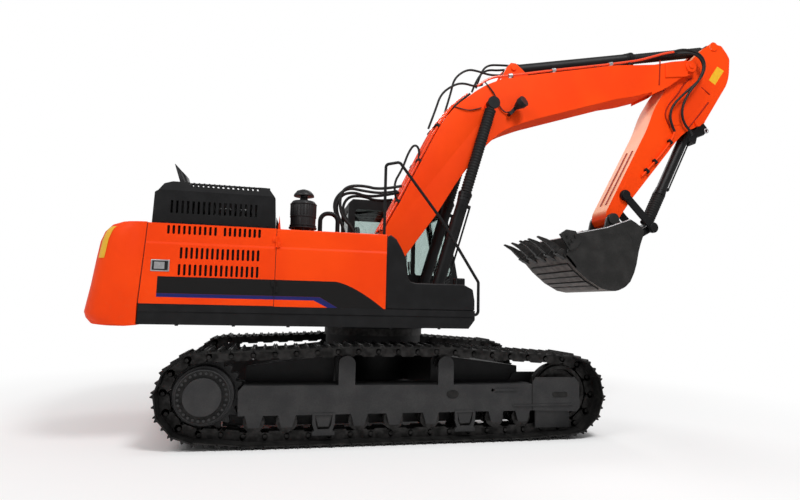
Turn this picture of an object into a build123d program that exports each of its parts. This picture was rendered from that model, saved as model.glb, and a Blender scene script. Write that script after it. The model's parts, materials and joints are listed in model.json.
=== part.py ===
"""Crawler excavator of the thirty tonne class, millimetres.

The origin is on the ground under the slewing axis. +X points forward over the idlers,
+Y to the machine's left and +Z up. The upper structure faces forward.
"""

import os
from math import asin, atan2, cos, degrees, hypot, pi, sin

from build123d import *

os.makedirs("parts", exist_ok=True)

# Undercarriage
sprocket_x, sprocket_z = -2000, 522
idler_x, idler_z = 2030, 500
track_gauge = 2600
shoe_width = 600
shoe_count = 48
shoe_plate = 12
shoe_gap = 6
grouser_height = 26
link_height = 105
end_wrap_radius = 435
bottom_rollers_x = (-1487, -1150, -766, -383, 5, 420, 818, 1192, 1522)
guided_rollers_x = (-766, 818)
roller_radius = 97
carrier_rollers_x = (-530, 590)
carrier_radius = 75
rail_inner, rail_outer = 60, 105
track_frame_half = 170
track_frame_bottom, track_frame_top = 313, 621
frame_plate = 20
running_gap = 6
seat_gap = 0.3

# Slewing ring and the deck of the upper structure
ring_radius = 660
ring_bottom, ring_top = 1100, 1190
deck_plate = 24
deck_bottom = ring_top + seat_gap
skirt_bottom, deck_top = 1241, 1446
house_half_width = 1480
house_top = 2282
skin = 30
seam = 6
rear_seam_x, middle_seam_x, front_seam_x = -2683, -1337, -122
rear_seam_lean = 45
tail_radius = 3240
deck_front_x = 923

# Engine hood
hood_front_x, hood_rear_x = -1362, -2625
hood_half_near, hood_half_far = 1360, 1000
hood_top = 2770
hood_base = house_top + seat_gap
hood_hinge = (-2640, 2337)
hinge_radius = 11
hinge_offset = hinge_radius + 1
hinge_y = house_half_width + hinge_offset

# Cab
cab_right, cab_left = 500, 1480
cab_rear_x, cab_front_x = -330, 1400
cab_roof = 3050
cab_wall = 50
glass_thickness = 6

# Working equipment, pins as (x, z) in the side view
boom_foot = (35, 1895)
boom_tip = (4960, 5370)
boom_rod_pin = (1566, 4382)
boom_barrel_pin = (760, 1635)
arm_barrel_pin = (2000, 5075)
arm_rod_pin = (5510, 5840)
bucket_barrel_pin = (5154, 4512)
rocker_pin = (3800, 3240)
rod_link_pin = (4270, 2767)
bucket_link_pin = (3780, 2495)
bucket_pin = (3574, 2859)
pin_radius = 45
box_plate = 16
boom_half_width = 265
arm_half_width = 190
boom_cylinder_y = 388
boom_barrel_radius = 82
boom_rod_radius = 50
boom_barrel_length = 1480
arm_barrel_radius = 92
arm_rod_radius = 55
arm_barrel_length = 2150
bucket_barrel_radius = 80
bucket_rod_radius = 48
bucket_barrel_length = 1330
boom_rod_tail, arm_rod_tail, bucket_rod_tail = 1000, 1600, 650
eye_radius = 75
boom_eye_width = 110
boom_rod_eye_y = boom_cylinder_y - boom_eye_width / 2
bellows_radius = 72
bucket_half_width = 640
bucket_side_plate = 25
tooth_count = 5


def side_plane(y):
    """Plane seen from the right side, at Y. What is extruded from it runs toward -Y."""
    return Plane.XZ.offset(-y)


def slab(points, y_right, y_left, radius=0):
    """A plate or block with a side outline, between two Y values, its corners rounded."""
    with BuildPart() as block:
        with BuildSketch(side_plane(y_left)) as face:
            Polygon(*points, align=None)
            if radius:
                fillet(face.vertices(), radius)
        extrude(amount=y_left - y_right)
    return block.part


def brick(x, y, z, radius=0):
    """A box given by its ranges in x, y and z, its upright edges rounded."""
    with BuildPart() as block:
        with BuildSketch(Plane.XY.offset(z[0])) as face:
            Polygon((x[0], y[0]), (x[1], y[0]), (x[1], y[1]), (x[0], y[1]), align=None)
            if radius:
                fillet(face.vertices(), radius)
        extrude(amount=z[1] - z[0])
    return block.part


def barrel(pin, radius, y_right, y_left):
    """A round bar across the machine at a side view point."""
    with BuildPart() as bar:
        with BuildSketch(side_plane(y_left)):
            with Locations(pin):
                Circle(radius)
        extrude(amount=y_left - y_right)
    return bar.part


def rod_between(start, end, y, radius):
    """A round bar in a plane of constant y, from one side view point to another."""
    length = hypot(end[0] - start[0], end[1] - start[1])
    path = Plane(
        origin=(start[0], y, start[1]),
        x_dir=(0, 1, 0),
        z_dir=(end[0] - start[0], 0, end[1] - start[1]),
    )
    with BuildPart() as bar:
        with BuildSketch(path):
            Circle(radius)
        extrude(amount=length)
    return bar.part


def curved_slab(corners, y_right, y_left):
    """A slab whose outline corners are given as x, z and rounding radius."""
    with BuildPart() as block:
        with BuildSketch(side_plane(y_left)) as face:
            Polygon(*[(x, z) for x, z, radius in corners], align=None)
            for x, z, radius in corners:
                if radius:
                    fillet(face.vertices().sort_by_distance((x, z, 0))[0], radius)
        extrude(amount=y_left - y_right)
    return block.part


def lengthwise(points, x_rear, x_front):
    """A bar along the machine with a section given as (y, z) points."""
    with BuildPart() as bar:
        with BuildSketch(Plane.YZ.offset(x_rear)):
            Polygon(*points, align=None)
        extrude(amount=x_front - x_rear)
    return bar.part


def upright(x, y, z, radius):
    """An upright round bar at a point in plan, between two heights."""
    with BuildPart() as bar:
        with BuildSketch(Plane.XY.offset(z[0])):
            with Locations((x, y)):
                Circle(radius)
        extrude(amount=z[1] - z[0])
    return bar.part


def knuckle(x, y, z, toward_x, wall_y):
    """A hinge knuckle on an upright axis, with its leaf on the wall toward one side."""
    x_range = sorted((x, x + toward_x * 40))
    y_range = sorted((y, wall_y))
    with BuildPart() as hinge:
        add(upright(x, y, z, hinge_radius))
        add(brick(x_range, y_range, z))
    return hinge.part


def along(start, end, distance):
    """The side view point at a distance from start toward end."""
    length = hypot(end[0] - start[0], end[1] - start[1])
    return (
        start[0] + (end[0] - start[0]) * distance / length,
        start[1] + (end[1] - start[1]) * distance / length,
    )


def distance(start, end):
    """Distance between two side view points."""
    return hypot(end[0] - start[0], end[1] - start[1])


def spread(first, last, count):
    """Evenly spaced values from first to last."""
    return [first + (last - first) * number / (count - 1) for number in range(count)]


def save(piece, name):
    """Name a finished piece and write its STEP file."""
    piece.part.label = name
    export_step(piece.part, f"parts/{name}.step")


def save_pair(piece, name):
    """Save the right-hand piece and its mirror image for the left side."""
    save(piece, f"{name}_right")
    with BuildPart() as other:
        add(mirror(piece.part, about=Plane.XZ))
    save(other, f"{name}_left")


# The chain's path: an open belt round four wheels, seen from the side, as pieces of
# (length, start point, start direction, turn radius), where a radius of 0 is a straight.
ground_line = shoe_plate + grouser_height
carrier_line = track_frame_top + 401
wheels = (
    # x, z, wrap radius
    (sprocket_x, sprocket_z, end_wrap_radius),
    (bottom_rollers_x[0], ground_line + link_height + roller_radius, link_height + roller_radius),
    (bottom_rollers_x[-1], ground_line + link_height + roller_radius, link_height + roller_radius),
    (idler_x, idler_z, end_wrap_radius),
    (carrier_rollers_x[1], carrier_line - link_height - carrier_radius, link_height + carrier_radius),
    (carrier_rollers_x[0], carrier_line - link_height - carrier_radius, link_height + carrier_radius),
)


def belt_pieces():
    """Straights and arcs of the belt, in order round the wheels."""
    tangents = []
    for index, (ax, az, ar) in enumerate(wheels):
        bx, bz, br = wheels[(index + 1) % len(wheels)]
        span = hypot(bx - ax, bz - az)
        heading = atan2(bz - az, bx - ax)
        outward = heading - pi / 2 + asin((ar - br) / span)
        start = (ax + ar * cos(outward), az + ar * sin(outward))
        end = (bx + br * cos(outward), bz + br * sin(outward))
        tangents.append((outward, start, end))
    pieces = []
    for index, (outward, start, end) in enumerate(tangents):
        next_wheel = wheels[(index + 1) % len(wheels)]
        next_outward = tangents[(index + 1) % len(wheels)][0]
        turn = (next_outward - outward) % (2 * pi)
        pieces.append((hypot(end[0] - start[0], end[1] - start[1]), start, outward, 0, None))
        pieces.append((turn * next_wheel[2], end, outward, next_wheel[2], next_wheel[:2]))
    return pieces


belt = belt_pieces()
belt_length = sum(piece[0] for piece in belt)
shoe_pitch = belt_length / shoe_count


def belt_point(distance_along):
    """Point on the belt and its outward angle, at a distance from the belt's start."""
    left = distance_along % belt_length
    for length, start, outward, radius, centre in belt:
        if left <= length:
            if radius == 0:
                run = outward + pi / 2
                return (start[0] + left * cos(run), start[1] + left * sin(run)), outward
            angle = outward + left / radius
            return (centre[0] + radius * cos(angle), centre[1] + radius * sin(angle)), angle
        left -= length
    return belt[0][1], belt[0][2]


def shoe_outline():
    """Outer outline of all shoes: on each a plate's end, three grousers and the other end."""
    half = (shoe_pitch - shoe_gap) / 2
    crest = shoe_plate + grouser_height
    profile = (
        # along, out
        (-half, shoe_plate), (-half + 5, crest), (-half + 26, shoe_plate),
        (-14, shoe_plate), (0, crest), (14, shoe_plate),
        (half - 26, shoe_plate), (half - 5, crest), (half, shoe_plate),
    )
    points = []
    for number in range(shoe_count):
        (x, z), outward = belt_point((number + 0.5) * shoe_pitch)
        run = outward + pi / 2
        for along_shoe, out in profile:
            points.append((
                x + along_shoe * cos(run) + out * cos(outward),
                z + along_shoe * sin(run) + out * sin(outward),
            ))
    return points


def belt_loop(inset):
    """The belt's corners between the shoes, moved inward by the inset."""
    points = []
    for number in range(shoe_count):
        (x, z), outward = belt_point(number * shoe_pitch)
        points.append((x - inset * cos(outward), z - inset * sin(outward)))
    return points


roller_z = ground_line + link_height + roller_radius
tread_gap = 5
chord_share = cos(shoe_pitch / 2 / end_wrap_radius)
carrier_z = carrier_line - link_height - carrier_radius

side = -1
middle_y = side * track_gauge / 2
outer_y = middle_y + side * track_frame_half
inner_y = middle_y - side * track_frame_half
low_y, high_y = sorted((outer_y, inner_y))

# Track: shoes with three grousers, on two link rails
with BuildPart() as track:
    with BuildSketch(side_plane(middle_y + shoe_width / 2)):
        Polygon(*shoe_outline(), align=None)
        Polygon(*belt_loop(0), align=None, mode=Mode.SUBTRACT)
    extrude(amount=shoe_width)
    for rail in (-1, 1):
        rail_y = middle_y + rail * (rail_inner + rail_outer) / 2
        rail_width = rail_outer - rail_inner
        with BuildSketch(side_plane(rail_y + rail_width / 2)):
            Polygon(*belt_loop(-shoe_plate / 2), align=None)
            Polygon(*belt_loop(link_height), align=None, mode=Mode.SUBTRACT)
        extrude(amount=rail_width)
save_pair(track, "track")

# Track frame: a channel with the rollers between its sides, carrier posts on top and
# the idler's guard at its front
frame_rear_x = sprocket_x + 350
guard_rear_x, guard_front_x = 1690, 2250
guide_proud, guide_foot = 12, 100
roller_guard_bottom = 150
with BuildPart() as track_frame:
    add(slab(
        (
            (frame_rear_x, track_frame_bottom), (frame_rear_x - 10, 560),
            (frame_rear_x + 40, track_frame_top), (guard_rear_x - 30, track_frame_top - 12),
            (guard_rear_x - 30, track_frame_bottom),
        ),
        low_y, high_y,
    ))
    add(
        brick(
            (frame_rear_x - 100, guard_rear_x + 50),
            (low_y + frame_plate, high_y - frame_plate),
            (0, track_frame_bottom + 60),
        ),
        mode=Mode.SUBTRACT,
    )
    add(
        brick(
            (frame_rear_x + 60, guard_rear_x - 60),
            (low_y + frame_plate, high_y - frame_plate),
            (track_frame_bottom + 60 + frame_plate, track_frame_top - 12 - frame_plate),
        ),
        mode=Mode.SUBTRACT,
    )
    add(
        brick(
            (frame_rear_x - 100, frame_rear_x + 60), (middle_y - 50, middle_y + 50),
            (0, 2 * track_frame_top),
        ),
        mode=Mode.SUBTRACT,
    )
    # The yoke round the idler is two cheeks with the idler between them
    for cheek in (-1, 1):
        cheek_mid = middle_y + cheek * (track_frame_half - frame_plate / 2)
        add(slab(
            (
                (guard_rear_x - 40, track_frame_bottom), (guard_front_x - 40, 292),
                (guard_front_x, 330), (guard_front_x, 620), (guard_front_x - 60, 690),
                (guard_rear_x, 690), (guard_rear_x - 40, 640),
            ),
            cheek_mid - frame_plate / 2, cheek_mid + frame_plate / 2,
        ))
        # Posts that carry the upper rollers
        for post_x in carrier_rollers_x:
            with BuildSketch(side_plane(cheek_mid + frame_plate / 2)):
                with Locations((post_x, (track_frame_top - 20 + carrier_z) / 2)):
                    Rectangle(2 * carrier_radius + 30, carrier_z - track_frame_top + 20)
                with Locations((post_x, carrier_z)):
                    Circle(carrier_radius + 15)
            extrude(amount=frame_plate)
        # Guides that keep the chain on its rollers, each a frame round a roller's bracket
        guide_y = sorted((
            middle_y + cheek * (track_frame_half - frame_plate),
            middle_y + cheek * (track_frame_half + guide_proud),
        ))
        for guide_x in guided_rollers_x:
            add(slab(
                (
                    (guide_x - 122, 330), (guide_x - 118, 215), (guide_x - 96, 150),
                    (guide_x - 120, 132),
                    (guide_x - 120, guide_foot), (guide_x + 120, guide_foot), (guide_x + 120, 132),
                    (guide_x + 96, 150), (guide_x + 118, 215), (guide_x + 122, 330),
                ),
                *guide_y,
            ))
            add(
                slab(
                    (
                        (guide_x - 92, track_frame_bottom - 2), (guide_x - 80, 205),
                        (guide_x - 58, 162), (guide_x + 58, 162),
                        (guide_x + 80, 205), (guide_x + 92, track_frame_bottom - 2),
                    ),
                    *guide_y,
                ),
                mode=Mode.SUBTRACT,
            )
        # Brackets that hold the ends of the lower rollers' shafts
        for bracket_x in bottom_rollers_x:
            add(slab(
                (
                    (bracket_x - 95, track_frame_bottom + 12), (bracket_x - 55, roller_z - 50),
                    (bracket_x + 55, roller_z - 50), (bracket_x + 95, track_frame_bottom + 12),
                ),
                cheek_mid - frame_plate / 2, cheek_mid + frame_plate / 2,
            ))
        # Lower guard beside the idler
        guard_y = sorted((middle_y + cheek * 125, middle_y + cheek * (track_frame_half - frame_plate)))
        add(slab(((guard_rear_x, 112), (2125, 112), (2125, 340), (guard_rear_x, 340)), *guard_y))
    # Inner side: a full-length guard behind the rollers and a raised plate by the idler
    inner_plate_y = sorted((inner_y, inner_y + side * frame_plate))
    add(brick(
        (frame_rear_x - 170, guard_rear_x - 40), inner_plate_y,
        (roller_guard_bottom, track_frame_bottom + 20),
    ))
    add(slab(
        ((1480, 600), (1540, 700), (1600, 716), (1900, 716), (1980, 695), (1980, 600)), *inner_plate_y,
    ))
    # Ridges, an oval hole and a slotted window on the outer face
    ridge_y = (outer_y - 12, outer_y + 1)
    add(slab(((1399, 364), (2149, 364), (2149, 382), (1399, 382)), *ridge_y))
    add(slab(((1175, 538), (1446, 538), (1446, 566), (1175, 566)), *ridge_y))
    with BuildSketch(side_plane(outer_y + frame_plate + 2)):
        with Locations((671, 507)):
            SlotOverall(78, 54)
        with Locations((1990, 487)):
            SlotOverall(92, 38)
        with Locations((1150, 548)):
            Circle(18)
    extrude(amount=frame_plate + 20, mode=Mode.SUBTRACT)
    # Bracket that carries the final drive, on the inner side
    bracket_y = sorted((inner_y, inner_y + side * 60))
    add(slab(
        (
            (frame_rear_x + 60, track_frame_bottom), (sprocket_x, sprocket_z - 240),
            (sprocket_x - 200, sprocket_z - 120), (sprocket_x - 200, sprocket_z + 120),
            (sprocket_x, sprocket_z + 240), (frame_rear_x + 60, track_frame_top),
        ),
        *bracket_y,
    ))
save_pair(track_frame, "track_frame")

# Rollers: nine under the frame and two above it, each with two treads and flanges
with BuildPart() as rollers:
    for roller_x in bottom_rollers_x:
        centre = (roller_x, roller_z)
        shaft_half = track_frame_half - frame_plate - seat_gap
        add(barrel(centre, 40, middle_y - shaft_half, middle_y + shaft_half))
        add(barrel(centre, 72, middle_y - 118, middle_y + 118))
        for tread in (-1, 1):
            tread_y = middle_y + tread * (rail_inner + rail_outer) / 2
            add(barrel(centre, roller_radius - tread_gap, tread_y - 24, tread_y + 24))
            flange_y = middle_y + tread * (rail_outer + 10)
            add(barrel(centre, roller_radius + 14, flange_y - 6, flange_y + 6))
    for carrier_x in carrier_rollers_x:
        centre = (carrier_x, carrier_z)
        shaft_half = track_frame_half - frame_plate - seat_gap
        add(barrel(centre, 30, middle_y - shaft_half, middle_y + shaft_half))
        for tread in (-1, 1):
            tread_y = middle_y + tread * (rail_inner + rail_outer) / 2
            add(barrel(centre, carrier_radius - tread_gap, tread_y - 24, tread_y + 24))
save_pair(rollers, "rollers")

# Idler: a spoked wheel whose tread carries the rails and whose flange runs between them
rail_radius = (end_wrap_radius - link_height) * chord_share - seat_gap
with BuildPart() as idler:
    add(barrel((idler_x, idler_z), rail_radius, middle_y - 100, middle_y + 100))
    add(barrel((idler_x, idler_z), rail_radius + 24, middle_y - 50, middle_y + 50))
    for dish_y in (middle_y + 100, middle_y - 30):
        with BuildSketch(side_plane(dish_y)):
            with Locations((idler_x, idler_z)):
                Circle(rail_radius - 45)
                Circle(120, mode=Mode.SUBTRACT)
        extrude(amount=70, mode=Mode.SUBTRACT)
    add(barrel(
        (idler_x, idler_z), 60,
        middle_y - track_frame_half + frame_plate + seat_gap,
        middle_y + track_frame_half - frame_plate - seat_gap,
    ))
save_pair(idler, "idler")

# Final drive: toothed sprocket on a hub that stands out to the shoes' outer side
tooth_number = 22
hub_steps = (
    # reach from the track's middle, radius
    (track_frame_half - 5, 302), (track_frame_half + 60, 272), (track_frame_half + 95, 190),
)
with BuildPart() as final_drive:
    with BuildSketch(side_plane(middle_y + 30)):
        teeth = []
        for tooth in range(tooth_number):
            for step, radius in ((-0.42, 338), (-0.14, 388), (0.14, 388), (0.42, 338)):
                angle = 2 * pi * (tooth + step) / tooth_number
                teeth.append((sprocket_x + radius * cos(angle), sprocket_z + radius * sin(angle)))
        Polygon(*teeth, align=None)
    extrude(amount=60)
    for reach, radius in hub_steps:
        hub_y = sorted((middle_y, middle_y + side * reach))
        add(barrel((sprocket_x, sprocket_z), radius, *hub_y))
    motor_y = sorted((middle_y, inner_y + side * 60 + side * seat_gap))
    add(barrel((sprocket_x, sprocket_z), 210, *motor_y))
save_pair(final_drive, "final_drive")

tow_eye_x, tow_eye_z, tow_eye_radius, tow_eye_plate = 740, 680, 27.5, 50

# Lower frame: a drum under the slewing ring with four box legs to the track frames
leg_inner_y = track_gauge / 2 - track_frame_half - seat_gap
leg_bottom, leg_height = 560, 360
drum_radius, drum_bore = 640, 480
with BuildPart() as legs:
    for leg_x in (-1, 1):
        for leg_y in (-1, 1):
            with BuildSketch(Plane.XY.offset(leg_bottom)):
                Polygon(
                    (leg_x * 260, leg_y * 480), (leg_x * 560, leg_y * 260),
                    (leg_x * 1600, leg_y * leg_inner_y), (leg_x * 640, leg_y * leg_inner_y),
                    align=None,
                )
            extrude(amount=leg_height)
    add(
        slab(
            (
                (-1600, leg_bottom), (1600, leg_bottom), (1600, 790), (600, 910), (-600, 910), (-1600, 790),
            ),
            -leg_inner_y, leg_inner_y,
        ),
        mode=Mode.INTERSECT,
    )

with BuildPart() as lower_frame:
    with BuildSketch(Plane.XY.offset(leg_bottom)):
        Circle(drum_radius)
    extrude(amount=ring_bottom - leg_bottom)
    with BuildSketch(Plane.XY.offset(520)):
        Circle(560)
    extrude(amount=60)
    with BuildSketch(Plane.XY.offset(500)):
        Circle(430)
    extrude(amount=440, mode=Mode.SUBTRACT)
    add(legs.part)
    with BuildSketch(Plane.XY.offset(ring_bottom)):
        Circle(drum_bore)
    extrude(amount=-400, mode=Mode.SUBTRACT)
    # Towing eyes at the front and the rear
    for end in (-1, 1):
        with BuildSketch(side_plane(tow_eye_plate / 2)):
            with Locations((end * (tow_eye_x - 80), tow_eye_z)):
                Rectangle(160, 120)
            with Locations((end * tow_eye_x, tow_eye_z)):
                Circle(60)
                Circle(tow_eye_radius, mode=Mode.SUBTRACT)
        extrude(amount=tow_eye_plate)
save(lower_frame, "lower_frame")

with BuildPart() as slew_ring:
    with BuildSketch(Plane.XY.offset(ring_bottom)):
        Circle(ring_radius)
        Circle(ring_radius - 130, mode=Mode.SUBTRACT)
    extrude(amount=ring_top - ring_bottom)
save(slew_ring, "slew_ring")

# Revolving frame: a deck tray with skirts, and two bracket plates for the boom
boom_bracket_gap = 5
bracket_plate = 26
bracket_y = boom_half_width + boom_bracket_gap
deck_nose_x, deck_nose_z = deck_front_x - 76, 1340
with BuildPart() as revolving_frame:
    with BuildSketch(Plane.XY.offset(deck_bottom)):
        Circle(ring_radius + 30)
    extrude(amount=skirt_bottom - deck_bottom + 1)
    deck_y = (-house_half_width + 1, house_half_width - 1)
    add(brick((rear_seam_x + seam, deck_nose_x), deck_y, (skirt_bottom, skirt_bottom + deck_plate)))
    add(brick((rear_seam_x + seam, deck_front_x), deck_y, (deck_top - deck_plate, deck_top)))
    add(brick((deck_front_x - 40, deck_front_x), deck_y, (deck_nose_z, deck_top)))
    add(brick(
        (rear_seam_x + seat_gap, rear_seam_x + seam + 40),
        (-house_half_width + 60, house_half_width - 60),
        (skirt_bottom, deck_top),
    ))
    for side in (-1, 1):
        skirt_y = sorted((side * house_half_width, side * (house_half_width - 30)))
        add(slab(
            (
                (rear_seam_x + seam, skirt_bottom), (deck_nose_x, skirt_bottom),
                (deck_front_x, deck_nose_z), (deck_front_x, deck_top), (rear_seam_x + seam, deck_top),
            ),
            *skirt_y,
        ))
        plate_y = sorted((side * bracket_y, side * (bracket_y + bracket_plate)))
        with BuildSketch(side_plane(plate_y[1])):
            Polygon(
                (-700, skirt_bottom), (880, skirt_bottom + 90), (900, 1580), (860, 1700), (700, 1760),
                (420, 1800), (190, 2000), (60, 2050), (-80, 2030), (-220, 1900), (-620, 1560),
                align=None,
            )
            with Locations(boom_foot):
                Circle(pin_radius + 1, mode=Mode.SUBTRACT)
        extrude(amount=bracket_plate)
        lug_y = sorted((side * (boom_cylinder_y + 60), side * (boom_cylinder_y + 85)))
        add(slab(
            ((640, deck_top - 10), (870, deck_top - 10), (830, 1680), (760, 1715), (690, 1680)),
            *lug_y,
        ))
        add(barrel(
            boom_barrel_pin, pin_radius,
            *sorted((side * (bracket_y + 5), side * (boom_cylinder_y + 85))),
        ))
save(revolving_frame, "revolving_frame")

# Counterweight: a casting whose back follows the tail swing and leans forward at the top
weight_bottom, weight_top = 1232, 2325
hood_hinge_places = (-900, 500)
with BuildPart() as counterweight:
    with BuildSketch(Plane.XY.offset(weight_bottom)) as plan:
        Circle(tail_radius)
        with Locations((rear_seam_x - 2000, 0)):
            Rectangle(4000, 2 * house_half_width, mode=Mode.INTERSECT)
        corners = plan.vertices().sort_by(Axis.X)[:2]
        fillet(corners, 150)
    extrude(amount=weight_top - weight_bottom + 10)
    with BuildSketch(side_plane(house_half_width + 10)):
        Polygon(
            (rear_seam_x, weight_bottom), (-3160, weight_bottom), (-3245, 1290), (-3250, 1360),
            (-3120, 2050), (-3060, 2200), (-2960, 2300), (-2840, weight_top),
            (rear_seam_x + rear_seam_lean, weight_top),
            (rear_seam_x, deck_top),
            align=None,
        )
    extrude(amount=2 * house_half_width + 20, mode=Mode.INTERSECT)
    for place_y in hood_hinge_places:
        add(barrel(hood_hinge, hinge_radius, place_y, place_y + 60))
        add(brick((hood_hinge[0] - 50, hood_hinge[0]), (place_y, place_y + 60), (2320, hood_hinge[1])))
save(counterweight, "counterweight")

# Engine bay: roof panel round the hood's opening, and the engine as one plain block
bay_front_x = middle_seam_x
bay_y = (-house_half_width + skin + seam, house_half_width - skin - seam)
with BuildPart() as bay_roof:
    bay_rear_x = rear_seam_x + rear_seam_lean + seam
    add(brick((bay_rear_x, bay_front_x - seam), bay_y, (house_top - 25, house_top)))
    add(
        brick(
            (hood_rear_x + 60, hood_front_x - 60), (-hood_half_near + 60, hood_half_far - 60),
            (house_top - 40, house_top + 10),
        ),
        mode=Mode.SUBTRACT,
    )
    add(brick((bay_front_x - 40, bay_front_x - seam), bay_y, (deck_top + seat_gap, house_top - 10)))
save(bay_roof, "engine_bay")

with BuildPart() as engine:
    add(brick((-2330, -1780), (-400, 500), (deck_top + seat_gap, 2080), radius=40))
save(engine, "engine_block")

door_outline = (
    (rear_seam_x + seam, deck_top + seam), (bay_front_x - seam, deck_top + seam),
    (bay_front_x - seam, house_top), (rear_seam_x + rear_seam_lean + seam, house_top),
)
hinge_heights = (1600, 2080)
slot_rows = (
    # first x, last x, bottom z, top z, slots
    (-2434, -1970, 2172, 2266, 10),
    (-1874, -1520, 2172, 2266, 8),
    (-2297, -1525, 1920, 2040, 16),
    (-2307, -1526, 1745, 1865, 16),
)
slot_width = 27
with BuildPart() as right_door:
    add(slab(door_outline, -house_half_width, -house_half_width + skin))
    with BuildSketch(side_plane(-house_half_width + skin + 1)):
        for first_x, last_x, bottom_z, top_z, slots in slot_rows:
            for slot_x in spread(first_x, last_x, slots):
                with Locations((slot_x, (bottom_z + top_z) / 2)):
                    SlotOverall(top_z - bottom_z, slot_width, rotation=90)
    extrude(amount=skin + 2, mode=Mode.SUBTRACT)
    for z in hinge_heights:
        add(knuckle(bay_front_x, -hinge_y, (z + 60 + seat_gap, z + 120), -1, -house_half_width + 5))
save(right_door, "engine_door_right")

with BuildPart() as left_door:
    add(slab(door_outline, house_half_width - skin, house_half_width))
    with BuildSketch(side_plane(house_half_width + 1)):
        for first_x, last_x, bottom_z, top_z, slots in slot_rows[2:]:
            for slot_x in spread(first_x, last_x, slots):
                with Locations((slot_x, (bottom_z + top_z) / 2)):
                    SlotOverall(top_z - bottom_z, slot_width, rotation=90)
    extrude(amount=skin + 2, mode=Mode.SUBTRACT)
    for z in hinge_heights:
        add(knuckle(bay_front_x, hinge_y, (z + 60 + seat_gap, z + 120), -1, house_half_width - 5))
save(left_door, "engine_door_left")

# Hood: raised cover over the engine, hinged along its rear edge, open below
hood_profile = (
    (hood_rear_x, hood_base, 0), (hood_rear_x + 10, 2628, 20), (hood_rear_x + 45, 2650, 0),
    (hood_rear_x + 85, 2737, 20), (hood_rear_x + 165, hood_top, 40),
    (hood_front_x - 90, hood_top - 8, 60),
    (hood_front_x - 8, 2633, 60), (hood_front_x, hood_base, 0),
)
hood_void = (
    (hood_rear_x + skin, hood_base - 10, 0), (hood_rear_x + 12 + skin, 2620, 0),
    (hood_rear_x + 110, 2718, 0), (hood_rear_x + 170, hood_top - skin, 0),
    (hood_front_x - 106, hood_top - 8 - skin, 0), (hood_front_x - 10 - skin, 2625, 0),
    (hood_front_x - skin, hood_base - 10, 0),
)
hood_shoulder, hood_shoulder_z = 95, 2655
side_openings = (
    # middle z, width, height, first x, last x, openings
    (2478, 24, 136, -2438, -1572, 17),
    (2726, 26, 36, -2250, -1565, 14),
)
top_openings = (
    # middle y, width, length across, first x, last x, openings
    (-1175, 36, 230, -2268, -1583, 14),
    (-170, 28, 150, -2430, -1660, 13),
    (270, 28, 150, -2430, -1660, 13),
)
with BuildPart() as hood:
    add(curved_slab(hood_profile, -hood_half_near, hood_half_far))
    add(
        lengthwise(
            (
                (-hood_half_near, hood_base), (-hood_half_near, hood_shoulder_z),
                (-hood_half_near + hood_shoulder, hood_top), (hood_half_far - hood_shoulder, hood_top),
                (hood_half_far, hood_shoulder_z), (hood_half_far, hood_base),
            ),
            hood_rear_x, hood_front_x,
        ),
        mode=Mode.INTERSECT,
    )
    with BuildPart(mode=Mode.PRIVATE) as hollow:
        add(curved_slab(hood_void, -hood_half_near + skin, hood_half_far - skin))
        add(
            lengthwise(
                (
                    (-hood_half_near + skin, hood_base - 10),
                    (-hood_half_near + skin, hood_shoulder_z - 12),
                    (-hood_half_near + hood_shoulder + 12, hood_top - skin),
                    (hood_half_far - hood_shoulder - 12, hood_top - skin),
                    (hood_half_far - skin, hood_shoulder_z - 12),
                    (hood_half_far - skin, hood_base - 10),
                ),
                hood_rear_x, hood_front_x,
            ),
            mode=Mode.INTERSECT,
        )
    add(hollow.part, mode=Mode.SUBTRACT)
    with BuildSketch(side_plane(hood_half_far + 5)):
        for middle_z, width, height, first_x, last_x, openings in side_openings:
            for opening_x in spread(first_x, last_x, openings):
                with Locations((opening_x, middle_z)):
                    Rectangle(width, height)
    extrude(amount=hood_half_near + hood_half_far + 10, mode=Mode.SUBTRACT)
    with BuildSketch(Plane.XY.offset(hood_top - skin - 5)):
        for place_y, width, length, first_x, last_x, openings in top_openings:
            for opening_x in spread(first_x, last_x, openings):
                with Locations((opening_x, place_y)):
                    Rectangle(width, length)
    extrude(amount=skin + 10, mode=Mode.SUBTRACT)
    for place_y in hood_hinge_places:
        add(barrel(hood_hinge, hinge_radius, place_y + 60 + seat_gap, place_y + 120))
        add(brick(
            (hood_hinge[0], hood_rear_x + 10), (place_y + 60 + seat_gap, place_y + 120),
            (hood_hinge[1] - hinge_radius, hood_hinge[1]),
        ))
save(hood, "hood")

# Tanks at the right, between the engine bay and the steps
tank_inner_y = -440
with BuildPart() as tank:
    add(brick(
        (bay_front_x, front_seam_x - seam), (-house_half_width, tank_inner_y),
        (deck_top + seat_gap, house_top),
    ))
    fillet(tank.edges().filter_by(Axis.X).sort_by(Axis.Z)[-2:], 20)
    add(
        brick(
            (bay_front_x + skin, front_seam_x - seam - skin),
            (-house_half_width + skin, tank_inner_y - skin),
            (deck_top - 10, house_top - skin),
        ),
        mode=Mode.SUBTRACT,
    )
    for z in hinge_heights:
        add(knuckle(bay_front_x, -hinge_y, (z, z + 60), 1, -house_half_width + 5))
    # Pointed stay on the tank's rear corner
    add(slab(
        ((bay_front_x + 4, house_top - 5), (bay_front_x + 40, house_top - 5), (bay_front_x + 16, 2455)),
        -1310, -1290,
    ))
save(tank, "tank_housing")

# Left cabinet behind the cab
with BuildPart() as cabinet:
    add(brick(
        (bay_front_x, cab_rear_x - 25), (cab_right, house_half_width),
        (deck_top + seat_gap, house_top),
    ))
    add(
        brick(
            (bay_front_x + skin, cab_rear_x - 25 - skin), (cab_right + skin, house_half_width - skin),
            (deck_top - 10, house_top - skin),
        ),
        mode=Mode.SUBTRACT,
    )
    for z in hinge_heights:
        add(knuckle(bay_front_x, hinge_y, (z, z + 60), 1, house_half_width - 5))
save(cabinet, "left_cabinet")

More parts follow.
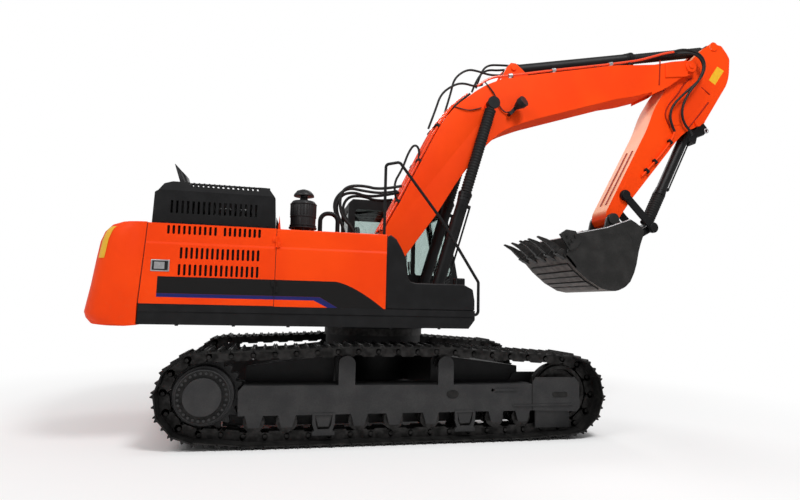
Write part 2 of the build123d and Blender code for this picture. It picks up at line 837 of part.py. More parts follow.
# Valve cover between the tanks and the cabinet
with BuildPart() as valve_cover:
    add(slab(
        ((bay_front_x, deck_top + seat_gap), (-760, deck_top + seat_gap), (-760, 1900),
         (-900, 2150), (bay_front_x, house_top - 60)),
        tank_inner_y + seam, cab_right - seam,
    ))
    add(
        slab(
            ((bay_front_x + skin, deck_top - 10), (-760 - skin, deck_top - 10), (-760 - skin, 1890),
             (-915, 2120), (bay_front_x + skin, house_top - 95)),
            tank_inner_y + seam + skin, cab_right - seam - skin,
        ),
        mode=Mode.SUBTRACT,
    )
save(valve_cover, "valve_cover")

# Steps: black box at the front right, its top stepped down from the tanks
steps_inner_y = -560
with BuildPart() as steps:
    add(slab(
        (
            (front_seam_x, deck_top + seat_gap), (front_seam_x, 2250), (-83, 2282), (-15, 2232),
            (54, 2116), (101, 2009), (128, 1805), (151, 1762), (218, 1748), (783, 1748),
            (900, 1690), (deck_front_x, 1560), (deck_front_x, deck_top + seat_gap),
        ),
        -house_half_width, steps_inner_y,
    ))
    add(
        slab(
            (
                (front_seam_x + skin, deck_top - 10), (front_seam_x + skin, 2200), (-60, 2220), (20, 2090),
                (70, 1995), (98, 1800), (140, 1722), (218, 1716), (770, 1716), (870, 1670),
                (deck_front_x - skin, 1545), (deck_front_x - skin, deck_top - 10),
            ),
            -house_half_width + skin, steps_inner_y - skin,
        ),
        mode=Mode.SUBTRACT,
    )
    add(brick((760, 880), (-1260, -1140), (1740, 1830)))
save(steps, "step_box")

# Air pre-cleaner on the tanks, and the exhaust stack at the hood's rear
with BuildPart() as precleaner:
    with BuildSketch(Plane.XZ):
        Polygon(
            (0, house_top + seat_gap), (90, house_top + seat_gap), (90, 2365), (165, 2370), (165, 2388),
            (148, 2392), (152, 2670), (130, 2702), (50, 2712), (42, 2765), (122, 2762), (118, 2785),
            (85, 2828), (30, 2848), (0, 2850),
            align=None,
        )
    revolve(axis=Axis.Z)
precleaner_place = Location((-1045, -900, 0))
precleaner.part = precleaner.part.moved(precleaner_place)
save(precleaner, "pre_cleaner")

exhaust_x, exhaust_y = -2420, -600
exhaust_top, exhaust_radius = 3010, 62
with BuildPart() as exhaust:
    add(upright(exhaust_x, exhaust_y, (hood_top + seat_gap, exhaust_top), exhaust_radius))
    add(
        upright(exhaust_x, exhaust_y, (hood_top + 20, exhaust_top + 20), exhaust_radius - 6),
        mode=Mode.SUBTRACT,
    )
    # The mouth is cut on a slant and faces forward
    add(
        slab(
            (
                (exhaust_x - 64, exhaust_top), (exhaust_x + 70, exhaust_top - 150),
                (exhaust_x + 120, exhaust_top - 150), (exhaust_x + 120, exhaust_top + 30),
                (exhaust_x - 64, exhaust_top + 30),
            ),
            exhaust_y - 90, exhaust_y + 90,
        ),
        mode=Mode.SUBTRACT,
    )
save(exhaust, "exhaust_stack")

# Handrail at the front right, from the tanks down to the deck's nose, with an inner leg
rail_tube, rail_y, rail_foot_x = 17, -1420, front_seam_x - 30
inner_leg_x, inner_leg_y = front_seam_x - 100, -900
pipe_tube, pipe_y, pipe_rear_x, pipe_front_x, pipe_top = 28, -600, -820, -600, 2625
rail_feet_z = house_top + seat_gap
rail_runs = (
    # tube radius, bend radius, corners from the foot on
    (rail_tube, 45, (
        (rail_foot_x, rail_y, rail_feet_z), (rail_foot_x, rail_y, 3100), (10, rail_y, 3140),
        (520, rail_y, 2500), (985, rail_y, 1780), (985, rail_y, 1400),
        (deck_front_x + seat_gap, rail_y, 1400),
    )),
    (rail_tube, 40, (
        (inner_leg_x, inner_leg_y, rail_feet_z), (inner_leg_x, inner_leg_y, rail_feet_z + 80),
        (rail_foot_x, rail_y, 3060),
    )),
    # Bent pipe on the tanks beside the pre-cleaner
    (pipe_tube, 100, (
        (pipe_rear_x, pipe_y, rail_feet_z), (pipe_rear_x, pipe_y, pipe_top),
        (pipe_front_x, pipe_y, pipe_top), (pipe_front_x, pipe_y, rail_feet_z),
    )),
)
with BuildPart() as handrails:
    for tube, bend, corners in rail_runs:
        with BuildLine() as run_path:
            FilletPolyline(*corners, radius=bend)
        with BuildSketch(Plane(origin=corners[0], z_dir=(0, 0, 1))):
            Circle(tube)
        sweep(path=run_path.line)
save(handrails, "handrails")

# Cab: a hollow box with its windows cut, floor included
cab_floor = deck_top + seat_gap
cab_outline = (
    (cab_rear_x, cab_floor), (cab_front_x - 60, cab_floor), (cab_front_x, 1800),
    (1180, 2950), (1080, cab_roof), (cab_rear_x + 60, cab_roof), (cab_rear_x, cab_roof - 60),
)
cab_inner = (
    (cab_rear_x + cab_wall, cab_floor + cab_wall), (cab_front_x - 105, cab_floor + cab_wall),
    (cab_front_x - 55, 1800), (1135, 2920), (1055, cab_roof - cab_wall),
    (cab_rear_x + 80, cab_roof - cab_wall), (cab_rear_x + cab_wall, cab_roof - 80),
)
door_rear_x, door_front_x = -210, 720
door_bottom, door_head = cab_floor + 70, 2940
door_hinge_heights = (1650, 2650)
door_hinge_y = cab_left + hinge_offset
window_radius = 40
rear_right_window = ((-230, 1950), (640, 1950), (640, 2900), (-230, 2900))
front_right_window = ((700, 1950), (1290, 1950), (1110, 2880), (700, 2900))
front_left_window = ((790, 1950), (1290, 1950), (1110, 2880), (790, 2900))
door_window = (
    (door_rear_x + 70, 2000), (door_front_x - 70, 2000),
    (door_front_x - 70, 2870), (door_rear_x + 70, 2870),
)
windscreen_y = (cab_right + 80, cab_left - 80)
windscreen_z = (1850, 2890)
rear_window_z = (2330, 2900)


def front_face_x(z):
    """X of the cab's sloping front at a height."""
    return cab_front_x - (z - 1800) * (cab_front_x - 1180) / (2950 - 1800)


def pane(points, y_inner):
    """A window pane that fills its opening up to the seal."""
    with BuildPart() as glass:
        with BuildSketch(side_plane(y_inner + glass_thickness)) as face:
            Polygon(*points, align=None)
            fillet(face.vertices(), window_radius)
            offset(amount=-seat_gap)
        extrude(amount=glass_thickness)
    return glass.part


with BuildPart() as cab_shell:
    add(slab(cab_outline, cab_right, cab_left))
    add(slab(cab_inner, cab_right + cab_wall, cab_left - cab_wall), mode=Mode.SUBTRACT)
    for window in (rear_right_window, front_right_window):
        add(slab(window, cab_right - 5, cab_right + cab_wall + 5, window_radius), mode=Mode.SUBTRACT)
    add(slab(front_left_window, cab_left - cab_wall - 5, cab_left + 5, window_radius), mode=Mode.SUBTRACT)
    add(
        slab(
            ((door_rear_x, door_bottom), (door_front_x, door_bottom), (door_front_x, door_head),
             (door_rear_x, door_head)),
            cab_left - cab_wall - 5, cab_left + 5,
        ),
        mode=Mode.SUBTRACT,
    )
    add(
        slab(
            tuple((front_face_x(z) + shift, z) for z, shift in (
                (windscreen_z[0], -120), (windscreen_z[0], 20),
                (windscreen_z[1], 20), (windscreen_z[1], -120),
            )),
            *windscreen_y,
        ),
        mode=Mode.SUBTRACT,
    )
    add(brick((cab_rear_x - 5, cab_rear_x + cab_wall + 5), windscreen_y, rear_window_z), mode=Mode.SUBTRACT)
    for z in door_hinge_heights:
        add(knuckle(door_rear_x, door_hinge_y, (z, z + 60), -1, cab_left - 5))
save(cab_shell, "cab_shell")

with BuildPart() as cab_door:
    add(slab(
        ((door_rear_x + seam, door_bottom + seam), (door_front_x - seam, door_bottom + seam),
         (door_front_x - seam, door_head - seam), (door_rear_x + seam, door_head - seam)),
        cab_left - cab_wall, cab_left,
    ))
    add(slab(door_window, cab_left - cab_wall - 5, cab_left + 5, window_radius), mode=Mode.SUBTRACT)
    for z in door_hinge_heights:
        add(knuckle(door_rear_x, door_hinge_y, (z + 60 + seat_gap, z + 120), 1, cab_left - 5))
save(cab_door, "cab_door")

with BuildPart() as seat:
    add(brick((-60, 420), (740, 1220), (1900, 2010), radius=60))
    add(slab(((-170, 1960), (-50, 1960), (-90, 2720), (-210, 2720)), 760, 1200, 30))
    add(brick((20, 340), (820, 1140), (cab_floor + cab_wall + seat_gap, 1905)))
save(seat, "seat")

# Boom: a hollow box section with a bent back, pin bosses at its ends and lugs on its top
boom_profile = (
    # x, z, radius
    (369, 2160, 0), (801, 2760, 0), (1150, 3330, 2500), (1511, 3780, 1400),
    (1814, 4009, 1300), (2220, 4174, 4000), (3636, 4648, 0), (4113, 4785, 1500), (4500, 5020, 0),
    (4640, 5405, 0), (4019, 5315, 0), (3648, 5268, 3000), (2222, 4940, 0), (1575, 4771, 1400),
    (1047, 4338, 1300), (826, 4027, 2000), (281, 2904, 4000), (58, 2495, 1700),
    (-60, 2060, 800), (-70, 1870, 120), (20, 1775, 100), (150, 1800, 120),
)
boom_void = (
    (330, 2180), (610, 2560), (770, 2790), (1120, 3360), (1480, 3815), (1800, 4045), (2200, 4205),
    (3620, 4680), (4050, 4790),
    (4050, 5290), (3650, 5235), (2235, 4910), (1600, 4745), (1075, 4315), (860, 4010),
    (600, 3480), (315, 2890), (110, 2500), (60, 2200),
)
with BuildPart() as boom:
    add(curved_slab(boom_profile, -boom_half_width, boom_half_width))
    add(slab(boom_void, -boom_half_width + box_plate, boom_half_width - box_plate), mode=Mode.SUBTRACT)
    # Tip: two cheeks that hold the arm between them
    for side in (-1, 1):
        cheek_y = sorted((side * (arm_half_width + running_gap), side * boom_half_width))
        add(slab(
            (
                (4277, 4840), (4560, 5010), (4880, 5240), (5020, 5270), (5080, 5340), (5085, 5420),
                (5030, 5480), (4920, 5500), (4660, 5450), (4300, 5350),
            ),
            *cheek_y,
        ))
    add(barrel(boom_tip, pin_radius, -boom_half_width - 20, boom_half_width + 20))
    # The arm cylinder's lugs and the bosses beside the boom cylinders' rod eyes
    for side in (-1, 1):
        lug_y = sorted((side * 105, side * 145))
        add(slab(
            ((1760, 4800), (2300, 4930), (2130, 5080), (2040, 5150), (1960, 5150), (1900, 5080)), *lug_y,
        ))
        boss_y = sorted((side * boom_half_width, side * (boom_rod_eye_y - running_gap)))
        add(barrel(boom_rod_pin, eye_radius, *boss_y))
    add(barrel(arm_barrel_pin, pin_radius, -165, 165))
    add(barrel(boom_foot, pin_radius, -bracket_y - bracket_plate - 20, bracket_y + bracket_plate + 20))
save(boom, "boom")

# Arm: hollow box section with the cylinder ears at its top
arm_profile = (
    # x, z, radius
    (5520, 5923, 60), (5600, 5870, 200), (5690, 5760, 0), (5745, 5671, 120), (5714, 5309, 700),
    (5280, 4521, 0), (5234, 4440, 120), (4906, 4240, 1200), (4675, 4050, 1200), (3930, 3194, 0),
    (3700, 2880, 0), (3620, 2775, 50), (3530, 2775, 50), (3480, 2860, 60), (3491, 2978, 180),
    (4226, 4323, 2000), (4363, 4664, 1200), (4585, 5013, 1200), (5189, 5671, 0), (5355, 5822, 500),
)
arm_void = (
    (5670, 5540), (5660, 5320), (5420, 4920), (5230, 4700), (5050, 4665), (4955, 4520), (4735, 4140),
    (4200, 3570), (3950, 3260), (3640, 3140), (4262, 4305), (4400, 4650), (4640, 5000), (4900, 5250),
    (5200, 5560), (5420, 5580),
)
arm_slot_z = 5608
ear_inner = 95
with BuildPart() as arm:
    add(curved_slab(arm_profile, -arm_half_width, arm_half_width))
    add(slab(arm_void, -arm_half_width + box_plate, arm_half_width - box_plate), mode=Mode.SUBTRACT)
    # The slot between the ears takes the arm cylinder's rod
    add(
        slab(
            ((5110, arm_slot_z), (5800, arm_slot_z), (5800, 6000), (5110, 6000)),
            -ear_inner, ear_inner,
        ),
        mode=Mode.SUBTRACT,
    )
    add(barrel(boom_tip, pin_radius + 1, -arm_half_width - 1, arm_half_width + 1), mode=Mode.SUBTRACT)
    # Pocket in the arm's back for the bucket cylinder's foot, with its pin across
    pocket_half = 100
    add(
        slab(
            (
                (5420, 4560), (5290, 4600), (5200, 4640), (5080, 4620), (4990, 4500), (4790, 4130),
                (4900, 4000), (5420, 4300),
            ),
            -pocket_half, pocket_half,
        ),
        mode=Mode.SUBTRACT,
    )
    add(barrel(bucket_barrel_pin, pin_radius, -arm_half_width - 15, arm_half_width + 15))
    add(barrel(rocker_pin, pin_radius, -arm_half_width - 60, arm_half_width + 60))
    for side in (-1, 1):
        boss_y = sorted((side * arm_half_width, side * (arm_half_width + 15)))
        add(barrel(arm_rod_pin, 72, *boss_y))
    add(barrel(bucket_pin, pin_radius + 1, -arm_half_width - 1, arm_half_width + 1), mode=Mode.SUBTRACT)
save(arm, "arm")


def cylinder_barrel(name, foot, head, length, radius, rod_radius, places, eye_width):
    """Barrels of a hydraulic cylinder, each from its foot eye to its gland, bored for the rod."""
    with BuildPart() as body:
        for y in places:
            add(rod_between(foot, along(foot, head, 125), y, 50))
            add(rod_between(along(foot, head, 120), along(foot, head, length), y, radius))
            add(rod_between(along(foot, head, length - 70), along(foot, head, length), y, radius + 10))
            add(barrel(foot, 80, y - eye_width / 2, y + eye_width / 2))
            add(barrel(foot, pin_radius + 1, y - eye_width, y + eye_width), mode=Mode.SUBTRACT)
            bore_start, bore_end = along(foot, head, 150), along(foot, head, length + 5)
            add(rod_between(bore_start, bore_end, y, rod_radius + seat_gap), mode=Mode.SUBTRACT)
    save(body, name)


def cylinder_rod(name, foot, head, tail, radius, places, eye_width):
    """Rods with their eyes, from their tails inside the barrels to the pin."""
    with BuildPart() as body:
        for y in places:
            eye_end = along(foot, head, distance(foot, head) - 40)
            add(rod_between(along(foot, head, tail), eye_end, y, radius))
            add(barrel(head, eye_radius, y - eye_width / 2, y + eye_width / 2))
    save(body, name)


def bellows(name, foot, head, length, radius, places):
    """The closed outer shape of the rubber bellows round a rod."""
    with BuildPart() as body:
        for y in places:
            end = along(foot, head, distance(foot, head) - 90)
            add(rod_between(along(foot, head, length + 4), end, y, bellows_radius))
            add(
                rod_between(along(foot, head, length), head, y, radius + seat_gap),
                mode=Mode.SUBTRACT,
            )
    save(body, name)


boom_places = (-boom_cylinder_y, boom_cylinder_y)
cylinders = (
    # name, ending, foot pin, rod pin, places in y
    # barrel: length, radius, foot eye's width; rod: tail, radius, eye's width
    ("boom", "s", boom_barrel_pin, boom_rod_pin, boom_places,
     (boom_barrel_length, boom_barrel_radius, boom_eye_width),
     (boom_rod_tail, boom_rod_radius, boom_eye_width)),
    ("arm", "", arm_barrel_pin, arm_rod_pin, (0,),
     (arm_barrel_length, arm_barrel_radius, 180), (arm_rod_tail, arm_rod_radius, 150)),
    ("bucket", "", bucket_barrel_pin, rod_link_pin, (0,),
     (bucket_barrel_length, bucket_barrel_radius, 170), (bucket_rod_tail, bucket_rod_radius, 150)),
)
for name, ending, foot, head, places, (length, radius, foot_eye), (tail, rod_radius, rod_eye) in cylinders:
    cylinder_barrel(
        f"{name}_cylinder_barrel{ending}", foot, head, length, radius, rod_radius, places, foot_eye,
    )
    cylinder_rod(f"{name}_cylinder_rod{ending}", foot, head, tail, rod_radius, places, rod_eye)
    bellows(f"{name}_cylinder_bellows", foot, head, length, rod_radius, places)

# Rocker: two bars outside the arm, from its pin on the arm to the rod and link pin
rocker_inner_y = arm_half_width + running_gap
rocker_bar, rocker_depth = 40, 110
link_outer_y, link_bar = 172, 45
with BuildPart() as rocker:
    for side in (-1, 1):
        bar_y = sorted((side * rocker_inner_y, side * (rocker_inner_y + rocker_bar)))
        with BuildSketch(side_plane(bar_y[1])):
            with Locations(rocker_pin, rod_link_pin):
                Circle(82)
            with Locations((
                (rocker_pin[0] + rod_link_pin[0]) / 2, (rocker_pin[1] + rod_link_pin[1]) / 2,
            )):
                Rectangle(
                    distance(rocker_pin, rod_link_pin) - 20, rocker_depth,
                    rotation=degrees(atan2(
                        rod_link_pin[1] - rocker_pin[1], rod_link_pin[0] - rocker_pin[0],
                    )),
                )
            with Locations(rocker_pin):
                Circle(pin_radius + 1, mode=Mode.SUBTRACT)
        extrude(amount=rocker_bar)
        stub_y = sorted((side * (link_outer_y - link_bar + 2), side * (rocker_inner_y + rocker_bar + 15)))
        add(barrel(rod_link_pin, pin_radius - 5, *stub_y))
save(rocker, "rocker")

with BuildPart() as link:
    for side in (-1, 1):
        bar_y = sorted((side * (link_outer_y - link_bar), side * link_outer_y))
        with BuildSketch(side_plane(bar_y[1])):
            with Locations(rod_link_pin, bucket_link_pin):
                Circle(68)
            with Locations((
                (bucket_link_pin[0] + rod_link_pin[0]) / 2, (bucket_link_pin[1] + rod_link_pin[1]) / 2,
            )):
                Rectangle(
                    distance(bucket_link_pin, rod_link_pin) - 20, 110,
                    rotation=degrees(atan2(
                        rod_link_pin[1] - bucket_link_pin[1], rod_link_pin[0] - bucket_link_pin[0],
                    )),
                )
            with Locations(rod_link_pin):
                Circle(pin_radius - 4, mode=Mode.SUBTRACT)
        extrude(amount=link_bar)
    add(barrel(bucket_link_pin, 65, -link_outer_y, link_outer_y))
save(link, "bucket_link")

# Bucket: two side plates and a rolled wrapper, open toward the lip, with ears for its pins
bucket_outline = (
    # x, z, radius
    (2558, 2215, 0), (2721, 2041, 0), (2902, 1897, 0), (3118, 1785, 0), (3321, 1750, 250),
    (3494, 1825, 250), (3601, 1966, 250), (3664, 2300, 500), (3652, 2480, 200), (3570, 2620, 110),
    (3420, 2650, 200), (2860, 2520, 250), (2694, 2560, 20),
)
bucket_void = (
    (2500, 2310, 0), (2590, 2225, 0), (2745, 2066, 0), (2920, 1925, 0), (3125, 1818, 0),
    (3316, 1786, 200), (3468, 1848, 200), (3570, 1982, 200), (3632, 2306, 0), (3622, 2465, 0),
    (3540, 2590, 60),
    (3440, 2615, 0), (2860, 2750, 0), (2600, 2750, 0),
)
wear_strips = (
    # bottom corner behind the strip, bottom corner before it, start and end from the first
    (0, 1, 118, 226), (1, 2, 12, 110), (1, 2, 124, 222), (2, 3, 12, 114), (2, 3, 128, 232),
)
wear_half, wear_thickness = 555, 14
side_cutter = ((2455, 2520), (2560, 2590), (2700, 2575), (2790, 2440), (2700, 2330), (2610, 2300))
ear_outline = (
    (3420, 2640), (3470, 2860), (3508, 2921), (3572, 2949), (3640, 2921), (3760, 2720), (3870, 2540),
    (3860, 2440), (3790, 2405), (3690, 2390), (3600, 2600),
)
ear_y = (arm_half_width + running_gap, arm_half_width + running_gap + 40)
with BuildPart() as bucket:
    add(curved_slab(bucket_outline, -bucket_half_width, bucket_half_width))
    inner_half_width = bucket_half_width - bucket_side_plate
    add(curved_slab(bucket_void, -inner_half_width, inner_half_width), mode=Mode.SUBTRACT)
    for rear, front, start, end in wear_strips:
        first, second = bucket_outline[rear][:2], bucket_outline[front][:2]
        span = distance(first, second)
        outward = ((second[1] - first[1]) / span, (first[0] - second[0]) / span)
        foot, head = along(first, second, start), along(first, second, end)
        add(slab(
            (
                (foot[0] - outward[0] * 2, foot[1] - outward[1] * 2),
                (head[0] - outward[0] * 2, head[1] - outward[1] * 2),
                (head[0] + outward[0] * wear_thickness, head[1] + outward[1] * wear_thickness),
                (foot[0] + outward[0] * wear_thickness, foot[1] + outward[1] * wear_thickness),
            ),
            -wear_half, wear_half,
        ))
    for side in (-1, 1):
        add(slab(ear_outline, *sorted((side * ear_y[0], side * ear_y[1]))))
        add(barrel(bucket_pin, 85, *sorted((side * ear_y[0], side * (ear_y[1] + 25)))))
        add(barrel(bucket_link_pin, 75, *sorted((side * ear_y[0], side * (ear_y[1] + 25)))))
        add(slab(side_cutter, *sorted((side * (bucket_half_width - 5), side * (bucket_half_width + 25)))))
    add(barrel(bucket_pin, pin_radius, -ear_y[1] - 20, ear_y[1] + 20))
save(bucket, "bucket")

tooth_side = (
    (2700, 2100), (2560, 2250), (2380, 2390), (2190, 2480),
    (2180, 2462), (2350, 2330), (2490, 2180), (2640, 2060),
)
tooth_plan = (
    # x, half width
    (2170, 22), (2480, 48), (2560, 55), (2710, 55),
)


def tooth(y):
    """One tooth with its adapter, narrower toward the tip."""
    outline = [(x, y + half) for x, half in tooth_plan]
    outline += [(x, y - half) for x, half in reversed(tooth_plan)]
    with BuildPart() as piece:
        add(slab(tooth_side, y - 60, y + 60))
        with BuildSketch(Plane.XY.offset(2000)):
            Polygon(*outline, align=None)
        extrude(amount=600, mode=Mode.INTERSECT)
    return piece.part


outer_tooth_y = bucket_half_width - 75
with BuildPart() as bucket_teeth:
    for tooth_y in spread(-outer_tooth_y, outer_tooth_y, tooth_count):
        add(tooth(tooth_y))
    add(bucket.part, mode=Mode.SUBTRACT)
save(bucket_teeth, "bucket_teeth")

# Glass of the cab and its door
pane_inset = 22
with BuildPart() as cab_glass:
    for window in (rear_right_window, front_right_window):
        add(pane(window, cab_right + pane_inset))
    add(pane(front_left_window, cab_left - pane_inset - glass_thickness))
    add(slab(
        tuple((front_face_x(z) + shift, z) for z, shift in (
            (windscreen_z[0] + seat_gap, -pane_inset - glass_thickness),
            (windscreen_z[0] + seat_gap, -pane_inset),
            (windscreen_z[1] - seat_gap, -pane_inset),
            (windscreen_z[1] - seat_gap, -pane_inset - glass_thickness),
        )),
        windscreen_y[0] + seat_gap, windscreen_y[1] - seat_gap,
    ))
    add(brick(
        (cab_rear_x + pane_inset, cab_rear_x + pane_inset + glass_thickness),
        (windscreen_y[0] + seat_gap, windscreen_y[1] - seat_gap),
        (rear_window_z[0] + seat_gap, rear_window_z[1] - seat_gap),
    ))
save(cab_glass, "cab_glass")

with BuildPart() as door_glass:
    add(pane(door_window, cab_left - pane_inset - glass_thickness))
save(door_glass, "cab_door_glass")
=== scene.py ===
"""Looks of a crawler excavator of the thirty tonne class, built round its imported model."""

import json
import math

import bmesh
import bpy
from mathutils import Matrix, Vector

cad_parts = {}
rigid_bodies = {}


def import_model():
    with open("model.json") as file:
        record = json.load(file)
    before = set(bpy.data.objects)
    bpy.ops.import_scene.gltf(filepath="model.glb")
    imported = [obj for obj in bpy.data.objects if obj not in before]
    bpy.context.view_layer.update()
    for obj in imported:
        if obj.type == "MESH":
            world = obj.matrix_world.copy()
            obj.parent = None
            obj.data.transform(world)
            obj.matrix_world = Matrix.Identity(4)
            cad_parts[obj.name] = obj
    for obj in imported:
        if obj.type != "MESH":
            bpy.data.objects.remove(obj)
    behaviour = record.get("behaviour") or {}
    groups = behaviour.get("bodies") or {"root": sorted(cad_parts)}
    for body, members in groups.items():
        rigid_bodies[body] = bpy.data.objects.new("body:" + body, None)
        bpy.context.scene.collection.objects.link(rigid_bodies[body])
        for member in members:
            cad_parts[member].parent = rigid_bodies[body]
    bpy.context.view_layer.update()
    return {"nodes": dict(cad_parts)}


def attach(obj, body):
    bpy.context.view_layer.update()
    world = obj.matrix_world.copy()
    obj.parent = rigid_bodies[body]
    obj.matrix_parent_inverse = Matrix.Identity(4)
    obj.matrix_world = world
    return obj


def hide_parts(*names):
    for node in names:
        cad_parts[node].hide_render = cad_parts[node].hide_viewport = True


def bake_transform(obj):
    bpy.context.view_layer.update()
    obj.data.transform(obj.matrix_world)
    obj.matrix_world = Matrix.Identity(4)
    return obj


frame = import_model()
nodes = frame["nodes"]


# Studio: a pale floor that shows white to the camera and keeps the machine's shadow, a
# white surround, and three large soft lamps high in front, at the left and behind.


class Wire:
    """A shader socket on which sums are written as plain expressions."""

    def __init__(self, tree, socket=None):
        self.tree = tree
        self.socket = socket

    def node(self, kind, settings=None, inputs=None, output=0):
        """One output of a new node. An input is a number, a tuple or another Wire."""
        made = self.tree.nodes.new(kind)
        for name, value in (settings or {}).items():
            setattr(made, name, value)
        for name, value in (inputs or {}).items():
            if isinstance(value, Wire):
                self.tree.links.new(value.socket, made.inputs[name])
            else:
                made.inputs[name].default_value = value
        return Wire(self.tree, made.outputs[output])

    def maths(self, operation, first, second):
        return self.node("ShaderNodeMath", {"operation": operation}, {0: first, 1: second})

    def __add__(self, other):
        return self.maths("ADD", self, other)

    __radd__ = __add__

    def __sub__(self, other):
        return self.maths("SUBTRACT", self, other)

    def __rsub__(self, other):
        return self.maths("SUBTRACT", other, self)

    def __mul__(self, other):
        return self.maths("MULTIPLY", self, other)

    __rmul__ = __mul__

    def __pow__(self, other):
        return self.maths("POWER", self, other)

    def __gt__(self, other):
        return self.maths("GREATER_THAN", self, other)

    def __lt__(self, other):
        return self.maths("LESS_THAN", self, other)

    def between(self, low, high):
        """0 below low, 1 above high and a smooth step from one to the other."""
        return self.node(
            "ShaderNodeMapRange", {"interpolation_type": "SMOOTHSTEP"},
            {"Value": self, "From Min": low, "From Max": high},
        )

    def mix(self, first, second):
        """Colour that goes from first to second as this value goes from 0 to 1."""
        made = self.tree.nodes.new("ShaderNodeMix")
        made.data_type = "RGBA"
        self.tree.links.new(self.socket, made.inputs[0])
        for place, value in ((6, first), (7, second)):
            if isinstance(value, Wire):
                self.tree.links.new(value.socket, made.inputs[place])
            else:
                made.inputs[place].default_value = value
        return Wire(self.tree, made.outputs[2])

    def noise(self, scale, detail=3):
        """Noise of a number of spots per metre, on the piece's own coordinates."""
        return self.node("ShaderNodeTexNoise", None, {"Vector": self.place(), "Scale": scale, "Detail": detail})

    def place(self):
        """The place on the piece, in its own coordinates."""
        return self.node("ShaderNodeTexCoord", output=3)

    def axes(self, where=None):
        """The three parts of a vector, or of the place on the piece."""
        split = self.node("ShaderNodeSeparateXYZ", None, {0: where or self.place()})
        outputs = split.socket.node.outputs
        return [Wire(self.tree, outputs[number]) for number in range(3)]

    def facing(self):
        """The three parts of the way that the surface faces."""
        return self.axes(self.node("ShaderNodeTexCoord", output=1))


floor_mesh = bmesh.new()
bmesh.ops.create_grid(floor_mesh, x_segments=1, y_segments=1, size=60)
floor_data = bpy.data.meshes.new("floor")
floor_mesh.to_mesh(floor_data)
floor_mesh.free()
floor = bpy.data.objects.new("floor", floor_data)
bpy.context.collection.objects.link(floor)

floor_paint = bpy.data.materials.new("floor_paint")
floor_paint.use_nodes = True
tree = floor_paint.node_tree
wire = Wire(tree)
matt = wire.node("ShaderNodeBsdfDiffuse", None, {"Color": (0.93, 0.93, 0.93, 1)})
white = wire.node("ShaderNodeEmission", None, {"Color": (1, 1, 1, 1), "Strength": 1.0})
seen = wire.node("ShaderNodeLightPath", output=0)
from_middle = wire.node("ShaderNodeVectorMath", {"operation": "LENGTH"}, {0: wire.place()}, output=1)
# The share of white grows away from the machine, and under it the floor keeps its shadow
near_share = 0.36
far_off = from_middle.between(3.0, 8.0)
along, aside = wire.axes()[:2]
under = (1 - (along * along).between(4.8, 8.4)) * (1 - (aside * aside).between(2.4, 3.2))
share = (near_share + far_off * (1 - near_share)) * (1 - under)
shown = wire.node("ShaderNodeMixShader", None, {0: seen * share, 1: matt, 2: white})
tree.links.new(shown.socket, tree.nodes["Material Output"].inputs["Surface"])
floor_data.materials.append(floor_paint)

world = bpy.data.worlds.new("studio")
bpy.context.scene.world = world
world.use_nodes = True
tree = world.node_tree
wire = Wire(tree)
path = wire.node("ShaderNodeLightPath").socket.node.outputs
plain = Wire(tree, path["Is Camera Ray"])
glossy = Wire(tree, path["Is Glossy Ray"])
through = Wire(tree, path["Is Transmission Ray"])
background = tree.nodes["Background"]
background.inputs["Color"].default_value = (1, 1, 1, 1)
lit_level, mirrored_share = 0.32, 0.15
strength = wire.maths("MINIMUM", plain + through + glossy * mirrored_share, 1.0) * (1 - lit_level) + lit_level
tree.links.new(strength.socket, background.inputs["Strength"])

lamps = (
    # name, place, aimed at, size, watts
    ("front", (3.0, -8.0, 13.0), (1.0, 0.0, 2.0), 4.0, 1100),
    ("left", (-8.5, -7.0, 9.5), (0.0, 0.0, 2.0), 6.0, 500),
    ("back", (2.5, 9.0, 10.5), (1.5, 0.0, 3.0), 5.0, 500),
)
for name, place, target, size, watts in lamps:
    light = bpy.data.lights.new(name, "AREA")
    light.shape = "DISK"
    light.size = size
    light.energy = watts
    lamp = bpy.data.objects.new(name, light)
    lamp.location = place
    lamp.rotation_euler = (Vector(target) - Vector(place)).to_track_quat("-Z", "Y").to_euler()
    bpy.context.collection.objects.link(lamp)

# Camera at the photograph's angle: turns in radians, focal length in picture points
yaw, pitch, roll = 0.2190, 0.1018, 0.0229
camera_place = Vector((-1.3076, -7.4569, 1.4867))
focal_length, picture_width, sensor_width = 545.19, 800, 36
forward = Vector((math.sin(yaw) * math.cos(pitch), math.cos(yaw) * math.cos(pitch), math.sin(pitch)))
level = Vector((math.cos(yaw), -math.sin(yaw), 0))
upward = level.cross(forward)
right = math.cos(roll) * level + math.sin(roll) * upward
up = -math.sin(roll) * level + math.cos(roll) * upward
camera_data = bpy.data.cameras.new("camera")
camera_data.sensor_width = sensor_width
camera_data.lens = focal_length * sensor_width / picture_width
camera = bpy.data.objects.new("camera", camera_data)
camera.matrix_world = Matrix((
    (right.x, up.x, -forward.x, camera_place.x),
    (right.y, up.y, -forward.y, camera_place.y),
    (right.z, up.z, -forward.z, camera_place.z),
    (0, 0, 0, 1),
))
bpy.context.collection.objects.link(camera)
bpy.context.scene.camera = camera
bpy.context.scene.view_settings.view_transform = "Standard"


# Track chains: forty-eight pressed steel shoes with three grousers each, bolted to forged
# links that are pinned end to end. They run round sprocket, rollers and idler.


